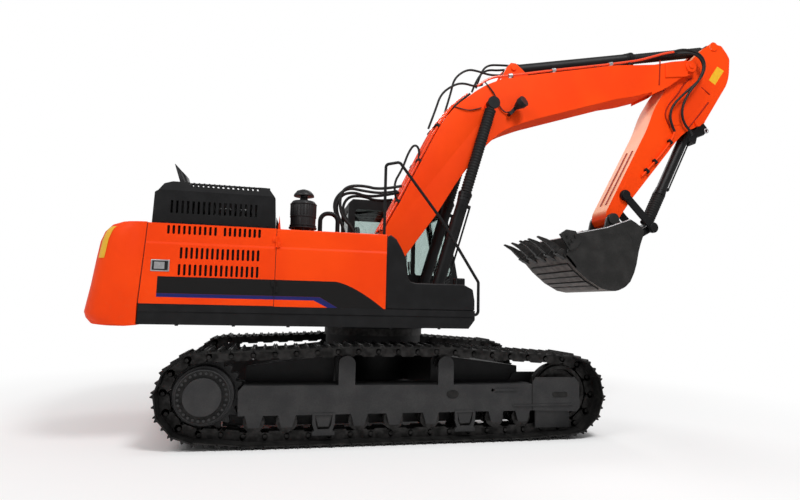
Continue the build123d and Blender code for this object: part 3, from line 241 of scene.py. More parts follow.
def finish(name, colour, roughness, metallic=0.0, coat=0.0, bump=None, specular=0.3):
    """A material from its colour, roughness and bump, each a number, a tuple or a function of a Wire."""
    material = bpy.data.materials.new(name)
    material.use_nodes = True
    tree = material.node_tree
    shader = tree.nodes["Principled BSDF"]
    wire = Wire(tree)
    shader.inputs["Coat Roughness"].default_value = 0.1
    shader.inputs["Specular IOR Level"].default_value = specular
    for socket, value in (
        ("Base Color", colour), ("Roughness", roughness), ("Metallic", metallic), ("Coat Weight", coat),
    ):
        if callable(value):
            tree.links.new(value(wire).socket, shader.inputs[socket])
        else:
            shader.inputs[socket].default_value = value
    if bump:
        depth, height = bump
        bumped = wire.node("ShaderNodeBump", None, {"Distance": depth, "Strength": 1.0, "Height": height(wire)})
        tree.links.new(bumped.socket, shader.inputs["Normal"])
    return material


black_iron = finish(
    "track_steel",
    lambda w: w.noise(9, 5).between(0.35, 0.72).mix((0.007, 0.007, 0.007, 1), (0.022, 0.021, 0.020, 1)),
    lambda w: 0.38 + w.noise(24, 4) * 0.3,
    metallic=0.35,
    bump=(0.002, lambda w: w.noise(60, 4)),
)
rubbed_steel = finish(
    "rubbed_steel",
    lambda w: w.noise(14, 5).between(0.3, 0.7).mix((0.016, 0.0155, 0.015, 1), (0.050, 0.048, 0.047, 1)),
    lambda w: 0.3 + w.noise(30, 4) * 0.25,
    metallic=0.8,
    bump=(0.001, lambda w: w.noise(90, 3)),
)
worn_edge = finish(
    "worn_edge", lambda w: w.noise(30, 4).mix((0.22, 0.22, 0.22, 1), (0.50, 0.50, 0.49, 1)),
    lambda w: 0.30 + w.noise(50, 3) * 0.25, metallic=0.7,
)


def keep(mesh, name, body, *materials, slot, smooth=35, bevel=0):
    """Make a shown piece of a bmesh that is already in place, and let it ride on its body."""
    data = bpy.data.meshes.new(name)
    mesh.to_mesh(data)
    mesh.free()
    for material in materials:
        data.materials.append(material)
    piece = bpy.data.objects.new(name, data)
    bpy.context.collection.objects.link(piece)
    if bevel:
        rounding = piece.modifiers.new("rounding", "BEVEL")
        rounding.width = bevel
        rounding.segments = 2
        rounding.limit_method = "ANGLE"
        rounding.angle_limit = math.radians(40)
    data.shade_smooth()
    data.set_sharp_from_angle(angle=math.radians(smooth))
    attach(piece, body)
    return piece


def plate(mesh, outline, y_right, y_left):
    """A plate or block with a side view outline, between two places across the machine."""
    corners = [mesh.verts.new((x, y_right, z)) for x, z in outline]
    face = mesh.faces.new(corners)
    grown = bmesh.ops.extrude_face_region(mesh, geom=[face])["geom"]
    moved = [part for part in grown if isinstance(part, bmesh.types.BMVert)]
    bmesh.ops.translate(mesh, verts=moved, vec=(0, y_left - y_right, 0))
    shell = list(dict.fromkeys(f for v in corners + moved for f in v.link_faces))
    bmesh.ops.recalc_face_normals(mesh, faces=shell)
    return corners + moved


def bar(mesh, start, end, radius, sides=20, end_radius=None):
    """A round bar or cone between two points."""
    start, end = Vector(start), Vector(end)
    run = end - start
    place = Matrix.Translation((start + end) / 2) @ run.to_track_quat("Z", "Y").to_matrix().to_4x4()
    return bmesh.ops.create_cone(
        mesh, cap_ends=True, segments=sides, radius1=radius,
        radius2=radius if end_radius is None else end_radius, depth=run.length, matrix=place,
    )["verts"]


track_middle, shoe_width, worn_height = 1.300, 0.600, 0.0345
ground_line, link_height, wrap_radius = 0.038, 0.105, 0.435
sprocket, idler = (-2.000, 0.522), (2.030, 0.500)
first_roller_x, last_roller_x, roller_radius = -1.487, 1.522, 0.097
carrier_places, carrier_radius, carrier_line = (-0.530, 0.590), 0.075, 1.022
belt_wheels = (
    # x, z, radius that the shoes' plane turns on
    (*sprocket, wrap_radius),
    (first_roller_x, ground_line + link_height + roller_radius, link_height + roller_radius),
    (last_roller_x, ground_line + link_height + roller_radius, link_height + roller_radius),
    (*idler, wrap_radius),
    (carrier_places[1], carrier_line - link_height - carrier_radius, link_height + carrier_radius),
    (carrier_places[0], carrier_line - link_height - carrier_radius, link_height + carrier_radius),
)
tangents = []
for number, (ax, az, ar) in enumerate(belt_wheels):
    bx, bz, br = belt_wheels[(number + 1) % 6]
    span = math.hypot(bx - ax, bz - az)
    outward = math.atan2(bz - az, bx - ax) - math.pi / 2 + math.asin((ar - br) / span)
    across = Vector((math.cos(outward), math.sin(outward)))
    tangents.append((outward, Vector((ax, az)) + ar * across, Vector((bx, bz)) + br * across))
belt_runs = []
for number, (outward, start, end) in enumerate(tangents):
    x, z, radius = belt_wheels[(number + 1) % 6]
    turn = (tangents[(number + 1) % 6][0] - outward) % (2 * math.pi)
    belt_runs.append(((end - start).length, outward, 0, start))
    belt_runs.append((turn * radius, outward, radius, Vector((x, z))))
belt_length = sum(run[0] for run in belt_runs)
shoe_count = 48
shoe_pitch = belt_length / shoe_count


def on_belt(distance):
    """The belt's point at a distance along it, and the angle that faces out of the track."""
    distance %= belt_length
    for length, outward, radius, anchor in belt_runs:
        if distance <= length:
            if not radius:
                return anchor + distance * Vector((-math.sin(outward), math.cos(outward))), outward
            angle = outward + distance / radius
            return anchor + radius * Vector((math.cos(angle), math.sin(angle))), angle
        distance -= length


shoe_half = shoe_pitch / 2
shoe_section = (
    # along the track, out of the track
    (-shoe_half - 0.016, -0.003), (-shoe_half - 0.016, 0.005), (-shoe_half + 0.004, 0.037),
    (-shoe_half + 0.013, 0.038), (-shoe_half + 0.026, 0.014), (-0.020, 0.012), (-0.006, 0.037),
    (0.005, 0.038), (0.016, 0.014), (shoe_half - 0.034, 0.012), (shoe_half - 0.018, 0.036),
    (shoe_half - 0.008, 0.037), (shoe_half - 0.004, 0.016), (shoe_half - 0.003, 0.001),
)
link_section = (
    # along the track, out of the track
    (-0.128, -0.018), (-0.142, -0.040), (-0.136, -0.072), (-0.108, -0.088), (-0.078, -0.088),
    (-0.062, -0.105), (0.062, -0.105), (0.078, -0.088), (0.108, -0.088), (0.136, -0.072),
    (0.142, -0.040), (0.128, -0.018), (0.100, 0.0), (-0.100, 0.0),
)
for side, name in ((-1, "right"), (1, "left")):
    middle = side * track_middle
    shoes = bmesh.new()
    links = bmesh.new()
    for number in range(shoe_count):
        centre, angle = on_belt((number + 0.5) * shoe_pitch)
        turn = Matrix.Translation((centre.x, middle, centre.y)) @ Matrix.Rotation(math.pi / 2 - angle, 4, "Y")
        made = plate(shoes, [(-u, n) for u, n in shoe_section], -shoe_width / 2, shoe_width / 2)
        for face in {face for vertex in made for face in vertex.link_faces}:
            if all(vertex.co.z > worn_height for vertex in face.verts):
                face.material_index = 1
        for bolt_u in (-0.055, 0.045):
            for bolt_y in (-0.082, 0.082):
                for shift in (-0.022, 0.022):
                    made += bar(
                        shoes, (bolt_u, bolt_y + shift, 0.010), (bolt_u, bolt_y + shift, 0.027), 0.013, sides=6,
                    )
        bmesh.ops.transform(shoes, matrix=turn, verts=made)
        made = []
        for rail in (-1, 1):
            made += plate(links, link_section, rail * 0.105, rail * 0.070)
        made += bar(links, (-shoe_half, -0.118, -0.052), (-shoe_half, 0.118, -0.052), 0.021, sides=12)
        made += bar(links, (-shoe_half, -0.070, -0.052), (-shoe_half, 0.070, -0.052), 0.033, sides=14)
        bmesh.ops.transform(links, matrix=turn, verts=made)
    shoe_piece = keep(shoes, f"shoes_{name}", "undercarriage", black_iron, worn_edge, slot="track_steel")
    keep(links, f"chain_links_{name}", "undercarriage", rubbed_steel, slot="track_steel")
    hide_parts(f"track_{name}")


# Track frames, rollers, idlers and final drives: welded plate and castings in charcoal paint of patchy tone. The treads
# that the chain runs on are bare.

charcoal = finish(
    "charcoal_paint",
    lambda w: (w.noise(5, 5) * 0.7 + w.noise(60, 2) * 0.3).between(0.35, 0.75).mix(
        (0.022, 0.022, 0.023, 1), (0.040, 0.039, 0.039, 1)),
    lambda w: 0.40 + w.noise(12, 4) * 0.22,
    bump=(0.0006, lambda w: w.noise(120, 3)),
)


def rounded(name, width, material, slot, trim=None):
    """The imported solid's surface with its triangles joined and its sharp edges rounded."""
    mesh = bmesh.new()
    mesh.from_mesh(nodes[name].data)
    bmesh.ops.remove_doubles(mesh, verts=mesh.verts, dist=0.00005)
    bmesh.ops.dissolve_limit(mesh, angle_limit=math.radians(0.5), verts=mesh.verts, edges=mesh.edges)
    if trim:
        for vertex in mesh.verts:
            trim(vertex.co)
    body = nodes[name].parent.name.split(":")[1]
    piece = keep(mesh, f"{name}_shown", body, material, slot=slot, smooth=32, bevel=width)
    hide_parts(name)


def dress(material, *names):
    """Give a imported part's surface this material."""
    for name in names:
        slots = nodes[name].data.materials
        slots.clear()
        slots.append(material)


for name in ("track_frame_right", "track_frame_left", "final_drive_right", "final_drive_left"):
    rounded(name, 0.005, charcoal, "frame_paint")
for name in ("rollers_right", "rollers_left", "idler_right", "idler_left"):
    rounded(name, 0.004, rubbed_steel, "track_steel")
dress(rubbed_steel, "slew_ring")

cover_face, cover_radius, bolt_circle, bolt_count = 0.229, 0.262, 0.236, 28
oval_middle, oval_half = (0.670, 0.509), (0.072, 0.049)
for side, name in ((-1, "right"), (1, "left")):
    face = side * (track_middle + cover_face)
    # Ring of bolts on a black gasket round the final drive's cover
    gasket = bmesh.new()
    bar(
        gasket, (sprocket[0], face - side * 0.010, sprocket[1]), (sprocket[0], face + side * 0.004, sprocket[1]),
        cover_radius, sides=64,
    )
    keep(gasket, f"drive_gasket_{name}", "undercarriage", black_iron, slot="frame_paint")
    fittings = bmesh.new()
    for number in range(bolt_count):
        angle = 2 * math.pi * (number + 0.5) / bolt_count
        x, z = sprocket[0] + bolt_circle * math.cos(angle), sprocket[1] + bolt_circle * math.sin(angle)
        bar(fittings, (x, face - side * 0.010, z), (x, face + side * 0.020, z), 0.0145, sides=6)
    keep(fittings, f"drive_bolts_{name}", "undercarriage", charcoal, slot="frame_paint")
    # Black plates on the frame's outer face paint the shade in the oval access hole, the slotted window and the joint
    # of the idler's yoke
    opening_shade = bmesh.new()
    low_y, high_y = sorted((side * 1.466, side * 1.4735))
    turns = [2 * math.pi * number / 28 for number in range(28)]
    plate(
        opening_shade,
        [(oval_middle[0] + oval_half[0] * math.cos(turn), oval_middle[1] + oval_half[1] * math.sin(turn))
         for turn in turns],
        low_y, high_y,
    )
    plate(
        opening_shade,
        ((1.915, 0.456), (2.075, 0.456), (2.090, 0.470), (2.090, 0.508), (2.075, 0.520), (1.915, 0.520),
         (1.900, 0.508), (1.900, 0.470)),
        low_y, high_y,
    )
    plate(opening_shade, ((1.638, 0.318), (1.647, 0.318), (1.647, 0.700), (1.638, 0.700)), low_y, high_y)
    keep(opening_shade, f"frame_openings_{name}", "undercarriage", black_iron, slot="frame_paint")


# Frames and plain covers: pressed and welded steel. The left cabinet is in bright orange paint. Deck, steps, valve
# cover, hood, house and rails are in satin black. The lower frame takes the same satin black, darker than the track
# frames' charcoal, as painted shade between the tracks.

orange_low, orange_high = (0.87, 0.050, 0.0010, 1), (0.95, 0.064, 0.0014, 1)


def orange_colour(w):
    """Orange with slow changes of shade and a little dust low down."""
    x, y, z = w.axes()
    shade = w.noise(1.3, 3).between(0.3, 0.7).mix(orange_low, orange_high)
    dust = (1 - z.between(1.3, 1.9)) * w.noise(26, 5).between(0.5, 0.85) * 0.12
    return dust.mix(shade, (0.55, 0.16, 0.06, 1))


def matt_below(w):
    """Roughness that rises on what faces the ground, where spray and dust dull the paint."""
    facing = w.facing()[2]
    return 0.42 + w.noise(7, 4) * 0.14 + (1 - facing.between(-0.8, -0.3)) * 0.40


orange_paint = finish(
    "orange_paint", orange_colour, matt_below,
    bump=(0.0002, lambda w: w.noise(60, 2)), specular=0.14,
)
satin_black = finish(
    "satin_black",
    lambda w: w.noise(6, 4).between(0.35, 0.75).mix((0.0045, 0.0045, 0.0050, 1), (0.0085, 0.0085, 0.0092, 1)),
    lambda w: 0.38 + w.noise(16, 4) * 0.16,
    specular=0.22,
    bump=(0.0004, lambda w: w.noise(170, 2)),
)
rounded("left_cabinet", 0.010, orange_paint, "orange_paint")
# The lower frame's satin black, darker than the charcoal of the track frames in the same slot, is painted shade between
# the tracks
for name, width in (
    ("lower_frame", 0.005), ("revolving_frame", 0.006), ("step_box", 0.014), ("valve_cover", 0.008), ("hood", 0.008),
):
    rounded(name, width, satin_black, "frame_paint")
dress(satin_black, "engine_bay", "handrails")


# Right engine door and tank housing: louvred door and plain tank side, with a band in
# satin black over a dark blue line along their lower edge, and a pressed crease above.

band_top, band_bottom, line_bottom = 1.728, 1.553, 1.517
band_start, sweep_start, step_start = -2.510, -0.700, -0.860
crease_low, crease_high = 2.060, 2.092


def band_masks(w):
    """1 on the black band and 1 on the blue line, from where the point is on the side."""
    x, y, z = w.axes()
    on_side = (y < -1.4785) * (x > band_start)
    past = w.maths("MAXIMUM", x - sweep_start, 0)
    top = band_top + 0.004 - past ** 1.5 * 0.70
    low = band_bottom + 0.005 - w.maths("MAXIMUM", x - step_start, 0) * 0.56
    line = line_bottom + 0.003 - w.maths("MAXIMUM", x - step_start + 0.06, 0) * 0.50
    under_top = 1 - (z - top).between(-0.001, 0.001)
    black = on_side * under_top * (z - low).between(-0.001, 0.001)
    blue = on_side * under_top * (z - line).between(-0.001, 0.001) - black
    return black, blue


def banded_colour(w):
    """Orange with the black band and the blue line."""
    black, blue = band_masks(w)
    return blue.mix(black.mix(orange_colour(w), (0.009, 0.0085, 0.0085, 1)), (0.014, 0.018, 0.12, 1))


def crease(w):
    """Height of the pressed crease, with a fine grain of the paint."""
    x, y, z = w.axes()
    return z.between(crease_low, crease_high) * -1.0 + w.noise(150, 2) * 0.03


banded_paint = finish(
    "banded_paint", banded_colour, lambda w: 0.42 + w.noise(7, 4) * 0.14, bump=(0.009, crease), specular=0.14,
)
for name in ("engine_door_right", "tank_housing"):
    rounded(name, 0.005, banded_paint, "orange_paint")
rounded("engine_door_left", 0.005, orange_paint, "orange_paint")

black_rubber = finish(
    "black_rubber", lambda w: w.noise(20, 3).mix((0.006, 0.006, 0.006, 1), (0.016, 0.016, 0.016, 1)),
    lambda w: 0.5 + w.noise(40, 3) * 0.25, bump=(0.0004, lambda w: w.noise(220, 2)), specular=0.2,
)


def block(mesh, low, high):
    """A box between two corners."""
    low, high = Vector(low), Vector(high)
    size = high - low
    place = Matrix.Translation((low + high) / 2) @ Matrix.Diagonal((size.x, size.y, size.z, 1))
    return bmesh.ops.create_cube(mesh, size=1, matrix=place)["verts"]


# Black louvre boxes close the slots from inside, and black rubber strips in the panel seams paint the shade in their
# gaps
side_y = 1.480
for side, name in ((-1, "right"), (1, "left")):
    louvres = bmesh.new()
    inner, outer = sorted((side * (side_y - 0.046), side * (side_y - 0.036)))
    block(louvres, (-2.500, inner, 1.700), (-1.400, outer, 2.275))
    for row, (first_x, last_x, low, high, count) in enumerate((
        (-2.434, -1.970, 2.168, 2.270, 10), (-1.874, -1.520, 2.168, 2.270, 8),
        (-2.297, -1.525, 1.916, 2.044, 16), (-2.307, -1.526, 1.741, 1.869, 16),
    )):
        if side > 0 and row < 2:
            continue
        for number in range(count):
            x = first_x + (last_x - first_x) * number / (count - 1)
            vane = sorted((side * (side_y - 0.036), side * (side_y - 0.012)))
            block(louvres, (x + 0.013, vane[0], low), (x + 0.017, vane[1], high))
    keep(louvres, f"louvres_{name}", f"engine_door_{name}", black_rubber, slot="frame_paint")
# Black strips set in the panel seams: painted shade of the gaps between the panels
gap_shade = bmesh.new()
seam_places = (
    # low x, low z, high x, high z
    (-1.341, 1.450, -1.333, 2.270), (-0.126, 1.450, -0.120, 2.270), (-2.676, 1.4455, -0.122, 1.4525),
)
for low_x, low_z, high_x, high_z in seam_places:
    for side in (-1, 1):
        outer_y, inner_y = side * (side_y - 0.0015), side * (side_y - 0.026)
        block(gap_shade, (low_x, min(outer_y, inner_y), low_z), (high_x, max(outer_y, inner_y), high_z))
plate(
    gap_shade, ((-2.6835, 1.446), (-2.6765, 1.446), (-2.632, 2.276), (-2.639, 2.276)), -side_y + 0.005, side_y - 0.005,
)
keep(gap_shade, "seam_seals", "upper", black_rubber, slot="bellows_rubber")

# Latch of the right door: a bright paddle with a round key plug, in a black recess and a
# bright frame
bright_steel = finish(
    "bright_steel", lambda w: w.noise(30, 3).mix((0.42, 0.42, 0.43, 1), (0.56, 0.56, 0.57, 1)),
    lambda w: 0.28 + w.noise(60, 3) * 0.15, metallic=0.9,
)
latch = bmesh.new()
block(latch, (-2.581, -1.486, 1.781), (-2.400, -1.478, 1.903))
keep(latch, "latch_frame", "engine_door_right", bright_steel, slot="casting", bevel=0.004)
latch = bmesh.new()
block(latch, (-2.566, -1.4875, 1.794), (-2.415, -1.485, 1.890))
keep(latch, "latch_recess", "engine_door_right", black_rubber, slot="bellows_rubber", bevel=0.001)
latch = bmesh.new()
block(latch, (-2.548, -1.491, 1.806), (-2.447, -1.487, 1.878))
bar(latch, (-2.497, -1.495, 1.842), (-2.497, -1.488, 1.842), 0.014, sides=24)
keep(latch, "latch_paddle", "engine_door_right", bright_steel, slot="casting", bevel=0.0015)

# Skirt: a pressed rail whose face leans back, and domed nuts along the lower edge
skirt = bmesh.new()
for side in (-1, 1):
    rail = [skirt.verts.new((-2.674, side * y, z)) for y, z in (
        (1.478, 1.441), (1.483, 1.440), (1.490, 1.376), (1.478, 1.362),
    )]
    grown = bmesh.ops.extrude_face_region(skirt, geom=[skirt.faces.new(rail)])["geom"]
    moved = [part for part in grown if isinstance(part, bmesh.types.BMVert)]
    bmesh.ops.translate(skirt, verts=moved, vec=(3.590, 0, 0))
    for number in range(6):
        x = -2.30 + number * 0.56
        bar(skirt, (x, side * 1.466, 1.230), (x, side * 1.466, 1.243), 0.016, sides=12, end_radius=0.019)
bmesh.ops.recalc_face_normals(skirt, faces=skirt.faces)
keep(skirt, "skirt_rails", "upper", satin_black, slot="frame_paint")


# Counterweight: one casting in orange paint, whose back follows the tail's swing and leans
# forward at the top. A blank reflective yellow strip is stuck down its rear corner.

weight_profile = (
    # x at 1.2 m off the middle, z
    (-2.6875, 1.232), (-3.090, 1.222), (-3.175, 1.232), (-3.226, 1.290), (-3.246, 1.350), (-3.199, 1.640),
    (-3.162, 1.930), (-3.136, 2.105), (-3.102, 2.200), (-3.045, 2.262), (-2.960, 2.288), (-2.640, 2.290),
    (-2.6875, 1.446),
)
profile_y, tail_swing, corner_start, corner_radius = 1.200, 3.450, 1.280, 0.200


def swung(x, y):
    """Where a point of the profile lies at a place across the machine."""
    share = min(max((-2.700 - x) / 0.350, 0), 1)
    around = math.sqrt(tail_swing ** 2 - profile_y ** 2) - math.sqrt(tail_swing ** 2 - y ** 2)
    past = min(max(abs(y) - corner_start, 0), corner_radius)
    return x + share * (around + corner_radius - math.sqrt(corner_radius ** 2 - past ** 2))


casting = bmesh.new()
plate(casting, weight_profile, -1.480, 1.480)
across = [edge for edge in casting.edges if abs(edge.verts[0].co.y - edge.verts[1].co.y) > 1]
bmesh.ops.subdivide_edges(casting, edges=across, cuts=73)
for vertex in casting.verts:
    vertex.co.x = swung(vertex.co.x, vertex.co.y)
for y in (-0.900, 0.500):
    bar(casting, (-2.640, y, 2.337), (-2.640, y + 0.060, 2.337), 0.011, sides=16)
    block(casting, (-2.690, y, 2.280), (-2.640, y + 0.060, 2.337))
casting_piece = keep(casting, "counterweight_shown", "upper", orange_paint, slot="orange_paint", bevel=0.006)
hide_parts("counterweight")
label_yellow = finish(
    "label_yellow", lambda w: w.noise(30, 2).mix((0.80, 0.42, 0.010, 1), (0.90, 0.50, 0.015, 1)),
    lambda w: 0.35 + w.noise(50, 2) * 0.1, coat=0.3,
)
strip = bmesh.new()
bmesh.ops.create_grid(strip, x_segments=4, y_segments=12, size=0.5)
for vertex in strip.verts:
    y, z = -1.360 + vertex.co.x * 0.090, 2.070 + vertex.co.y * 0.330
    for (low_x, low_z), (high_x, high_z) in zip(weight_profile[5:], weight_profile[6:10]):
        if low_z <= z <= high_z:
            x = low_x + (high_x - low_x) * (z - low_z) / (high_z - low_z)
    vertex.co = (swung(x, y) - 0.002, y - 0.002, z)
keep(strip, "weight_label", "upper", label_yellow, slot="orange_paint")


# Air pre-cleaner, hood fittings and exhaust: a moulded plastic bowl with clamp bands, steel
# catches bolted to the hood's edge, a raised rim on stands, and a pipe with a slanted mouth.

black_plastic = finish(
    "black_plastic", lambda w: w.noise(12, 3).mix((0.009, 0.009, 0.010, 1), (0.017, 0.017, 0.018, 1)),
    lambda w: 0.38 + w.noise(60, 2) * 0.12, bump=(0.0003, lambda w: w.noise(400, 1)),
)
rounded("pre_cleaner", 0.003, black_plastic, "panel_plastic")
cleaner_x, cleaner_y = -1.045, -0.900
cleaner = bmesh.new()
for low, high, radius in ((2.400, 2.412, 0.158), (2.655, 2.668, 0.158), (2.505, 2.520, 0.156)):
    bar(cleaner, (cleaner_x, cleaner_y, low), (cleaner_x, cleaner_y, high), radius, sides=64)
for number in range(24):
    angle = 2 * math.pi * number / 24
    x, y = cleaner_x + 0.150 * math.cos(angle), cleaner_y + 0.150 * math.sin(angle)
    bar(cleaner, (x, y, 2.530), (x, y, 2.650), 0.006, sides=8)
for number in range(6):
    angle = 2 * math.pi * (number + 0.5) / 6
    x, y = cleaner_x + 0.135 * math.cos(angle), cleaner_y + 0.135 * math.sin(angle)
    bar(cleaner, (x, y, 2.283), (x, y, 2.372), 0.010, sides=10)
    bar(cleaner, (x, y, 2.388), (x, y, 2.398), 0.013, sides=6)
keep(cleaner, "cleaner_bands", "upper", black_plastic, slot="panel_plastic", bevel=0.0015)

hood_trim = bmesh.new()
for y in (-1.10, -0.10, 0.80):
    plate(hood_trim, ((-1.355, 2.283), (-1.303, 2.283), (-1.303, 2.324), (-1.355, 2.463)), y - 0.02, y + 0.02)
for number in range(12):
    x = -2.52 + number * 0.098
    bar(hood_trim, (x, -1.368, 2.318), (x, -1.358, 2.318), 0.011, sides=6)
keep(hood_trim, "hood_catches", "hood", satin_black, slot="frame_paint", bevel=0.002)
stack = bmesh.new()
bar(stack, (-2.400, -0.600, 2.764), (-2.600, -0.600, 3.368), 0.055, sides=40)
bmesh.ops.bisect_plane(
    stack, geom=stack.verts[:] + stack.edges[:] + stack.faces[:], plane_co=(-2.574, -0.600, 3.117),
    plane_no=(0.698, 0, 0.716), clear_outer=True,
)
stack_piece = keep(stack, "exhaust_shown", "hood", satin_black, slot="frame_paint")
wall = stack_piece.modifiers.new("wall", "SOLIDIFY")
wall.thickness = 0.006
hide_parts("exhaust_stack")
hood_ribs = bmesh.new()
for y in (-0.45, 0.05, 0.55):
    block(hood_ribs, (-2.44, y - 0.03, 2.768), (-1.50, y + 0.03, 2.776))
for y in (-1.066, 0.990):
    block(hood_ribs, (-2.480, y, 2.784), (-1.440, y + 0.030, 2.804))
for number in range(-3, 16):
    x = -2.268 + (number - 0.5) * 0.0527
    block(hood_ribs, (x - 0.007, -1.066, 2.764), (x + 0.007, -1.036, 2.790))
    block(hood_ribs, (x - 0.007, 0.990, 2.764), (x + 0.007, 1.020, 2.790))
keep(hood_ribs, "hood_ribs", "hood", satin_black, slot="frame_paint", bevel=0.004)


# Cab: welded tube frame skinned with pressed steel in satin black, tinted panes set in
# the frame, and inside a padded seat, two consoles, a screen and the travel levers.

rounded("cab_shell", 0.018, satin_black, "cab_paint")
rounded("cab_door", 0.008, satin_black, "cab_paint")
tinted_glass = bpy.data.materials.new("tinted_glass")
tinted_glass.use_nodes = True
pane_shader = tinted_glass.node_tree.nodes["Principled BSDF"]
pane_shader.inputs["Base Color"].default_value = (0.62, 0.70, 0.68, 1)
pane_shader.inputs["Roughness"].default_value = 0.02
pane_shader.inputs["IOR"].default_value = 1.45
pane_shader.inputs["Transmission Weight"].default_value = 1.0
dress(tinted_glass, "cab_glass", "cab_door_glass")

cab_trim = bmesh.new()
for x in (-0.18, 0.28, 0.74):
    block(cab_trim, (x, 0.62, 3.049), (x + 0.03, 1.36, 3.056))
bar(cab_trim, (1.205, 0.99, 2.88), (1.345, 0.99, 2.03), 0.008, sides=12)
bar(cab_trim, (1.345, 0.86, 2.03), (1.345, 1.12, 2.03), 0.007, sides=10)
keep(cab_trim, "cab_wiper", "upper", black_rubber, slot="bellows_rubber")
handle = bmesh.new()
block(handle, (0.560, 1.478, 1.930), (0.680, 1.492, 1.985))
bar(handle, (0.575, 1.502, 1.957), (0.665, 1.502, 1.957), 0.010, sides=16)
bar(handle, (0.665, 1.480, 1.957), (0.665, 1.504, 1.957), 0.008, sides=12)
keep(handle, "door_handle", "cab_door", black_plastic, slot="panel_plastic", bevel=0.003)
consoles = bmesh.new()
for low_y, high_y in ((0.560, 0.690), (1.270, 1.400)):
    block(consoles, (-0.120, low_y, 1.510), (0.420, high_y, 2.120))
    bar(consoles, (0.360, (low_y + high_y) / 2, 2.110), (0.375, (low_y + high_y) / 2, 2.230), 0.012, sides=14)
    bar(
        consoles, (0.372, (low_y + high_y) / 2, 2.215), (0.390, (low_y + high_y) / 2, 2.330), 0.024,
        sides=20, end_radius=0.030,
    )
for y in (0.910, 1.060):
    bar(consoles, (0.800, y, 1.500), (0.740, y, 2.080), 0.010, sides=12)
    bar(consoles, (0.742, y, 2.060), (0.728, y, 2.190), 0.016, sides=16)
    block(consoles, (0.760, y - 0.055, 1.500), (0.930, y + 0.055, 1.530))
block(consoles, (1.120, 0.575, 2.020), (1.150, 0.780, 2.160))
bar(consoles, (1.130, 0.620, 1.520), (1.130, 0.620, 2.020), 0.016, sides=14)
keep(consoles, "cab_consoles", "upper", black_plastic, slot="panel_plastic", bevel=0.004)

seat_fabric = finish(
    "seat_fabric",
    lambda w: w.noise(900, 1).between(0.35, 0.65).mix((0.018, 0.018, 0.020, 1), (0.050, 0.050, 0.054, 1)),
    lambda w: 0.78 + w.noise(300, 1) * 0.15, bump=(0.0008, lambda w: w.noise(1100, 1)),
)


def cushion(name, low, high, tilt, pivot, cap):
    """A pad that swells from a block between two corners, turned about a line across."""
    mesh = bmesh.new()
    block(mesh, low, high)
    bmesh.ops.bevel(
        mesh, geom=mesh.edges[:], offset=0.028, segments=3, profile=0.5, affect="EDGES", material=-1,
    )
    turn = Matrix.Rotation(math.radians(tilt), 4, "Y")
    turn = Matrix.Translation(pivot) @ turn @ Matrix.Translation(-Vector(pivot))
    bmesh.ops.transform(mesh, matrix=turn, verts=mesh.verts)
    data = bpy.data.meshes.new(name)
    mesh.to_mesh(data)
    mesh.free()
    piece = bpy.data.objects.new(name, data)
    bpy.context.collection.objects.link(piece)
    remesh = piece.modifiers.new("remesh", "REMESH")
    remesh.mode = "VOXEL"
    remesh.voxel_size = 0.010
    shaped = piece.evaluated_get(bpy.context.evaluated_depsgraph_get())
    still = bpy.data.meshes.new_from_object(shaped)
    piece.modifiers.clear()
    piece.data = still
    start = [v.co.copy() for v in still.vertices]
    cloth = piece.modifiers.new("swell", "CLOTH")
    cloth.settings.use_pressure = True
    cloth.settings.uniform_pressure_force = 4
    cloth.settings.effector_weights.gravity = 0
    for number in range(1, 21):
        bpy.context.scene.frame_set(number)
    grown = bpy.data.meshes.new_from_object(piece.evaluated_get(bpy.context.evaluated_depsgraph_get()))
    bpy.context.scene.frame_set(1)
    piece.modifiers.clear()
    for vertex, first in zip(grown.vertices, start):
        shift = vertex.co - first
        if shift.length > cap:
            vertex.co = first + shift.normalized() * cap
    piece.data = grown
    finer = piece.modifiers.new("finer", "SUBSURF")
    finer.levels = finer.render_levels = 1
    piece.data.materials.append(seat_fabric)
    piece.data.shade_smooth()
    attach(piece, "upper")


cushion("seat_cushion", (-0.045, 0.755, 1.915), (0.405, 1.205, 1.998), 0, (0, 0, 0), 0.010)
cushion("seat_back", (-0.155, 0.775, 2.025), (-0.075, 1.185, 2.690), -3.5, (-0.10, 0.98, 2.00), 0.010)
seat_base = bmesh.new()
block(seat_base, (0.02, 0.82, 1.498), (0.34, 1.14, 1.905))
block(seat_base, (-0.14, 0.80, 1.885), (0.36, 1.16, 1.912))
seat_base_piece = keep(seat_base, "seat_base", "upper", black_plastic, slot="panel_plastic", bevel=0.008)
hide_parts("seat")


# Engine: one cast iron block in grey paint on the deck, seen only past the open doors or
# under the raised hood.

engine_grey = finish(
    "engine_grey", lambda w: w.noise(8, 4).mix((0.10, 0.105, 0.11, 1), (0.17, 0.175, 0.18, 1)),
    lambda w: 0.45 + w.noise(20, 3) * 0.2, bump=(0.002, lambda w: w.noise(60, 3)),
)
rounded("engine_block", 0.010, engine_grey, "engine_iron")


# Boom and arm: box sections welded from plate in the same orange, thicker round their pins. Red-brown beads along their
# weld seams paint the shade in the seams' grooves, and the arm's front face pales to cream as a painted highlight.
# Steel pipes and rubber hoses are clamped along them.

boom_belly = (
    # x, z along the lower edge, rise of the plate's trimmed edge
    (1.360, 3.600, 0.0), (1.511, 3.780, 0.020), (1.814, 4.009, 0.062), (2.220, 4.174, 0.070),
    (3.636, 4.648, 0.070), (4.113, 4.785, 0.050), (4.400, 4.950, 0.0),
)
# Middles of pins, x and z
boom_foot, boom_rod_eye, arm_pivot, arm_rod_eye = (0.035, 1.895), (1.566, 4.382), (4.985, 5.395), (5.510, 5.840)
bucket_cylinder_pin = (5.154, 4.512)


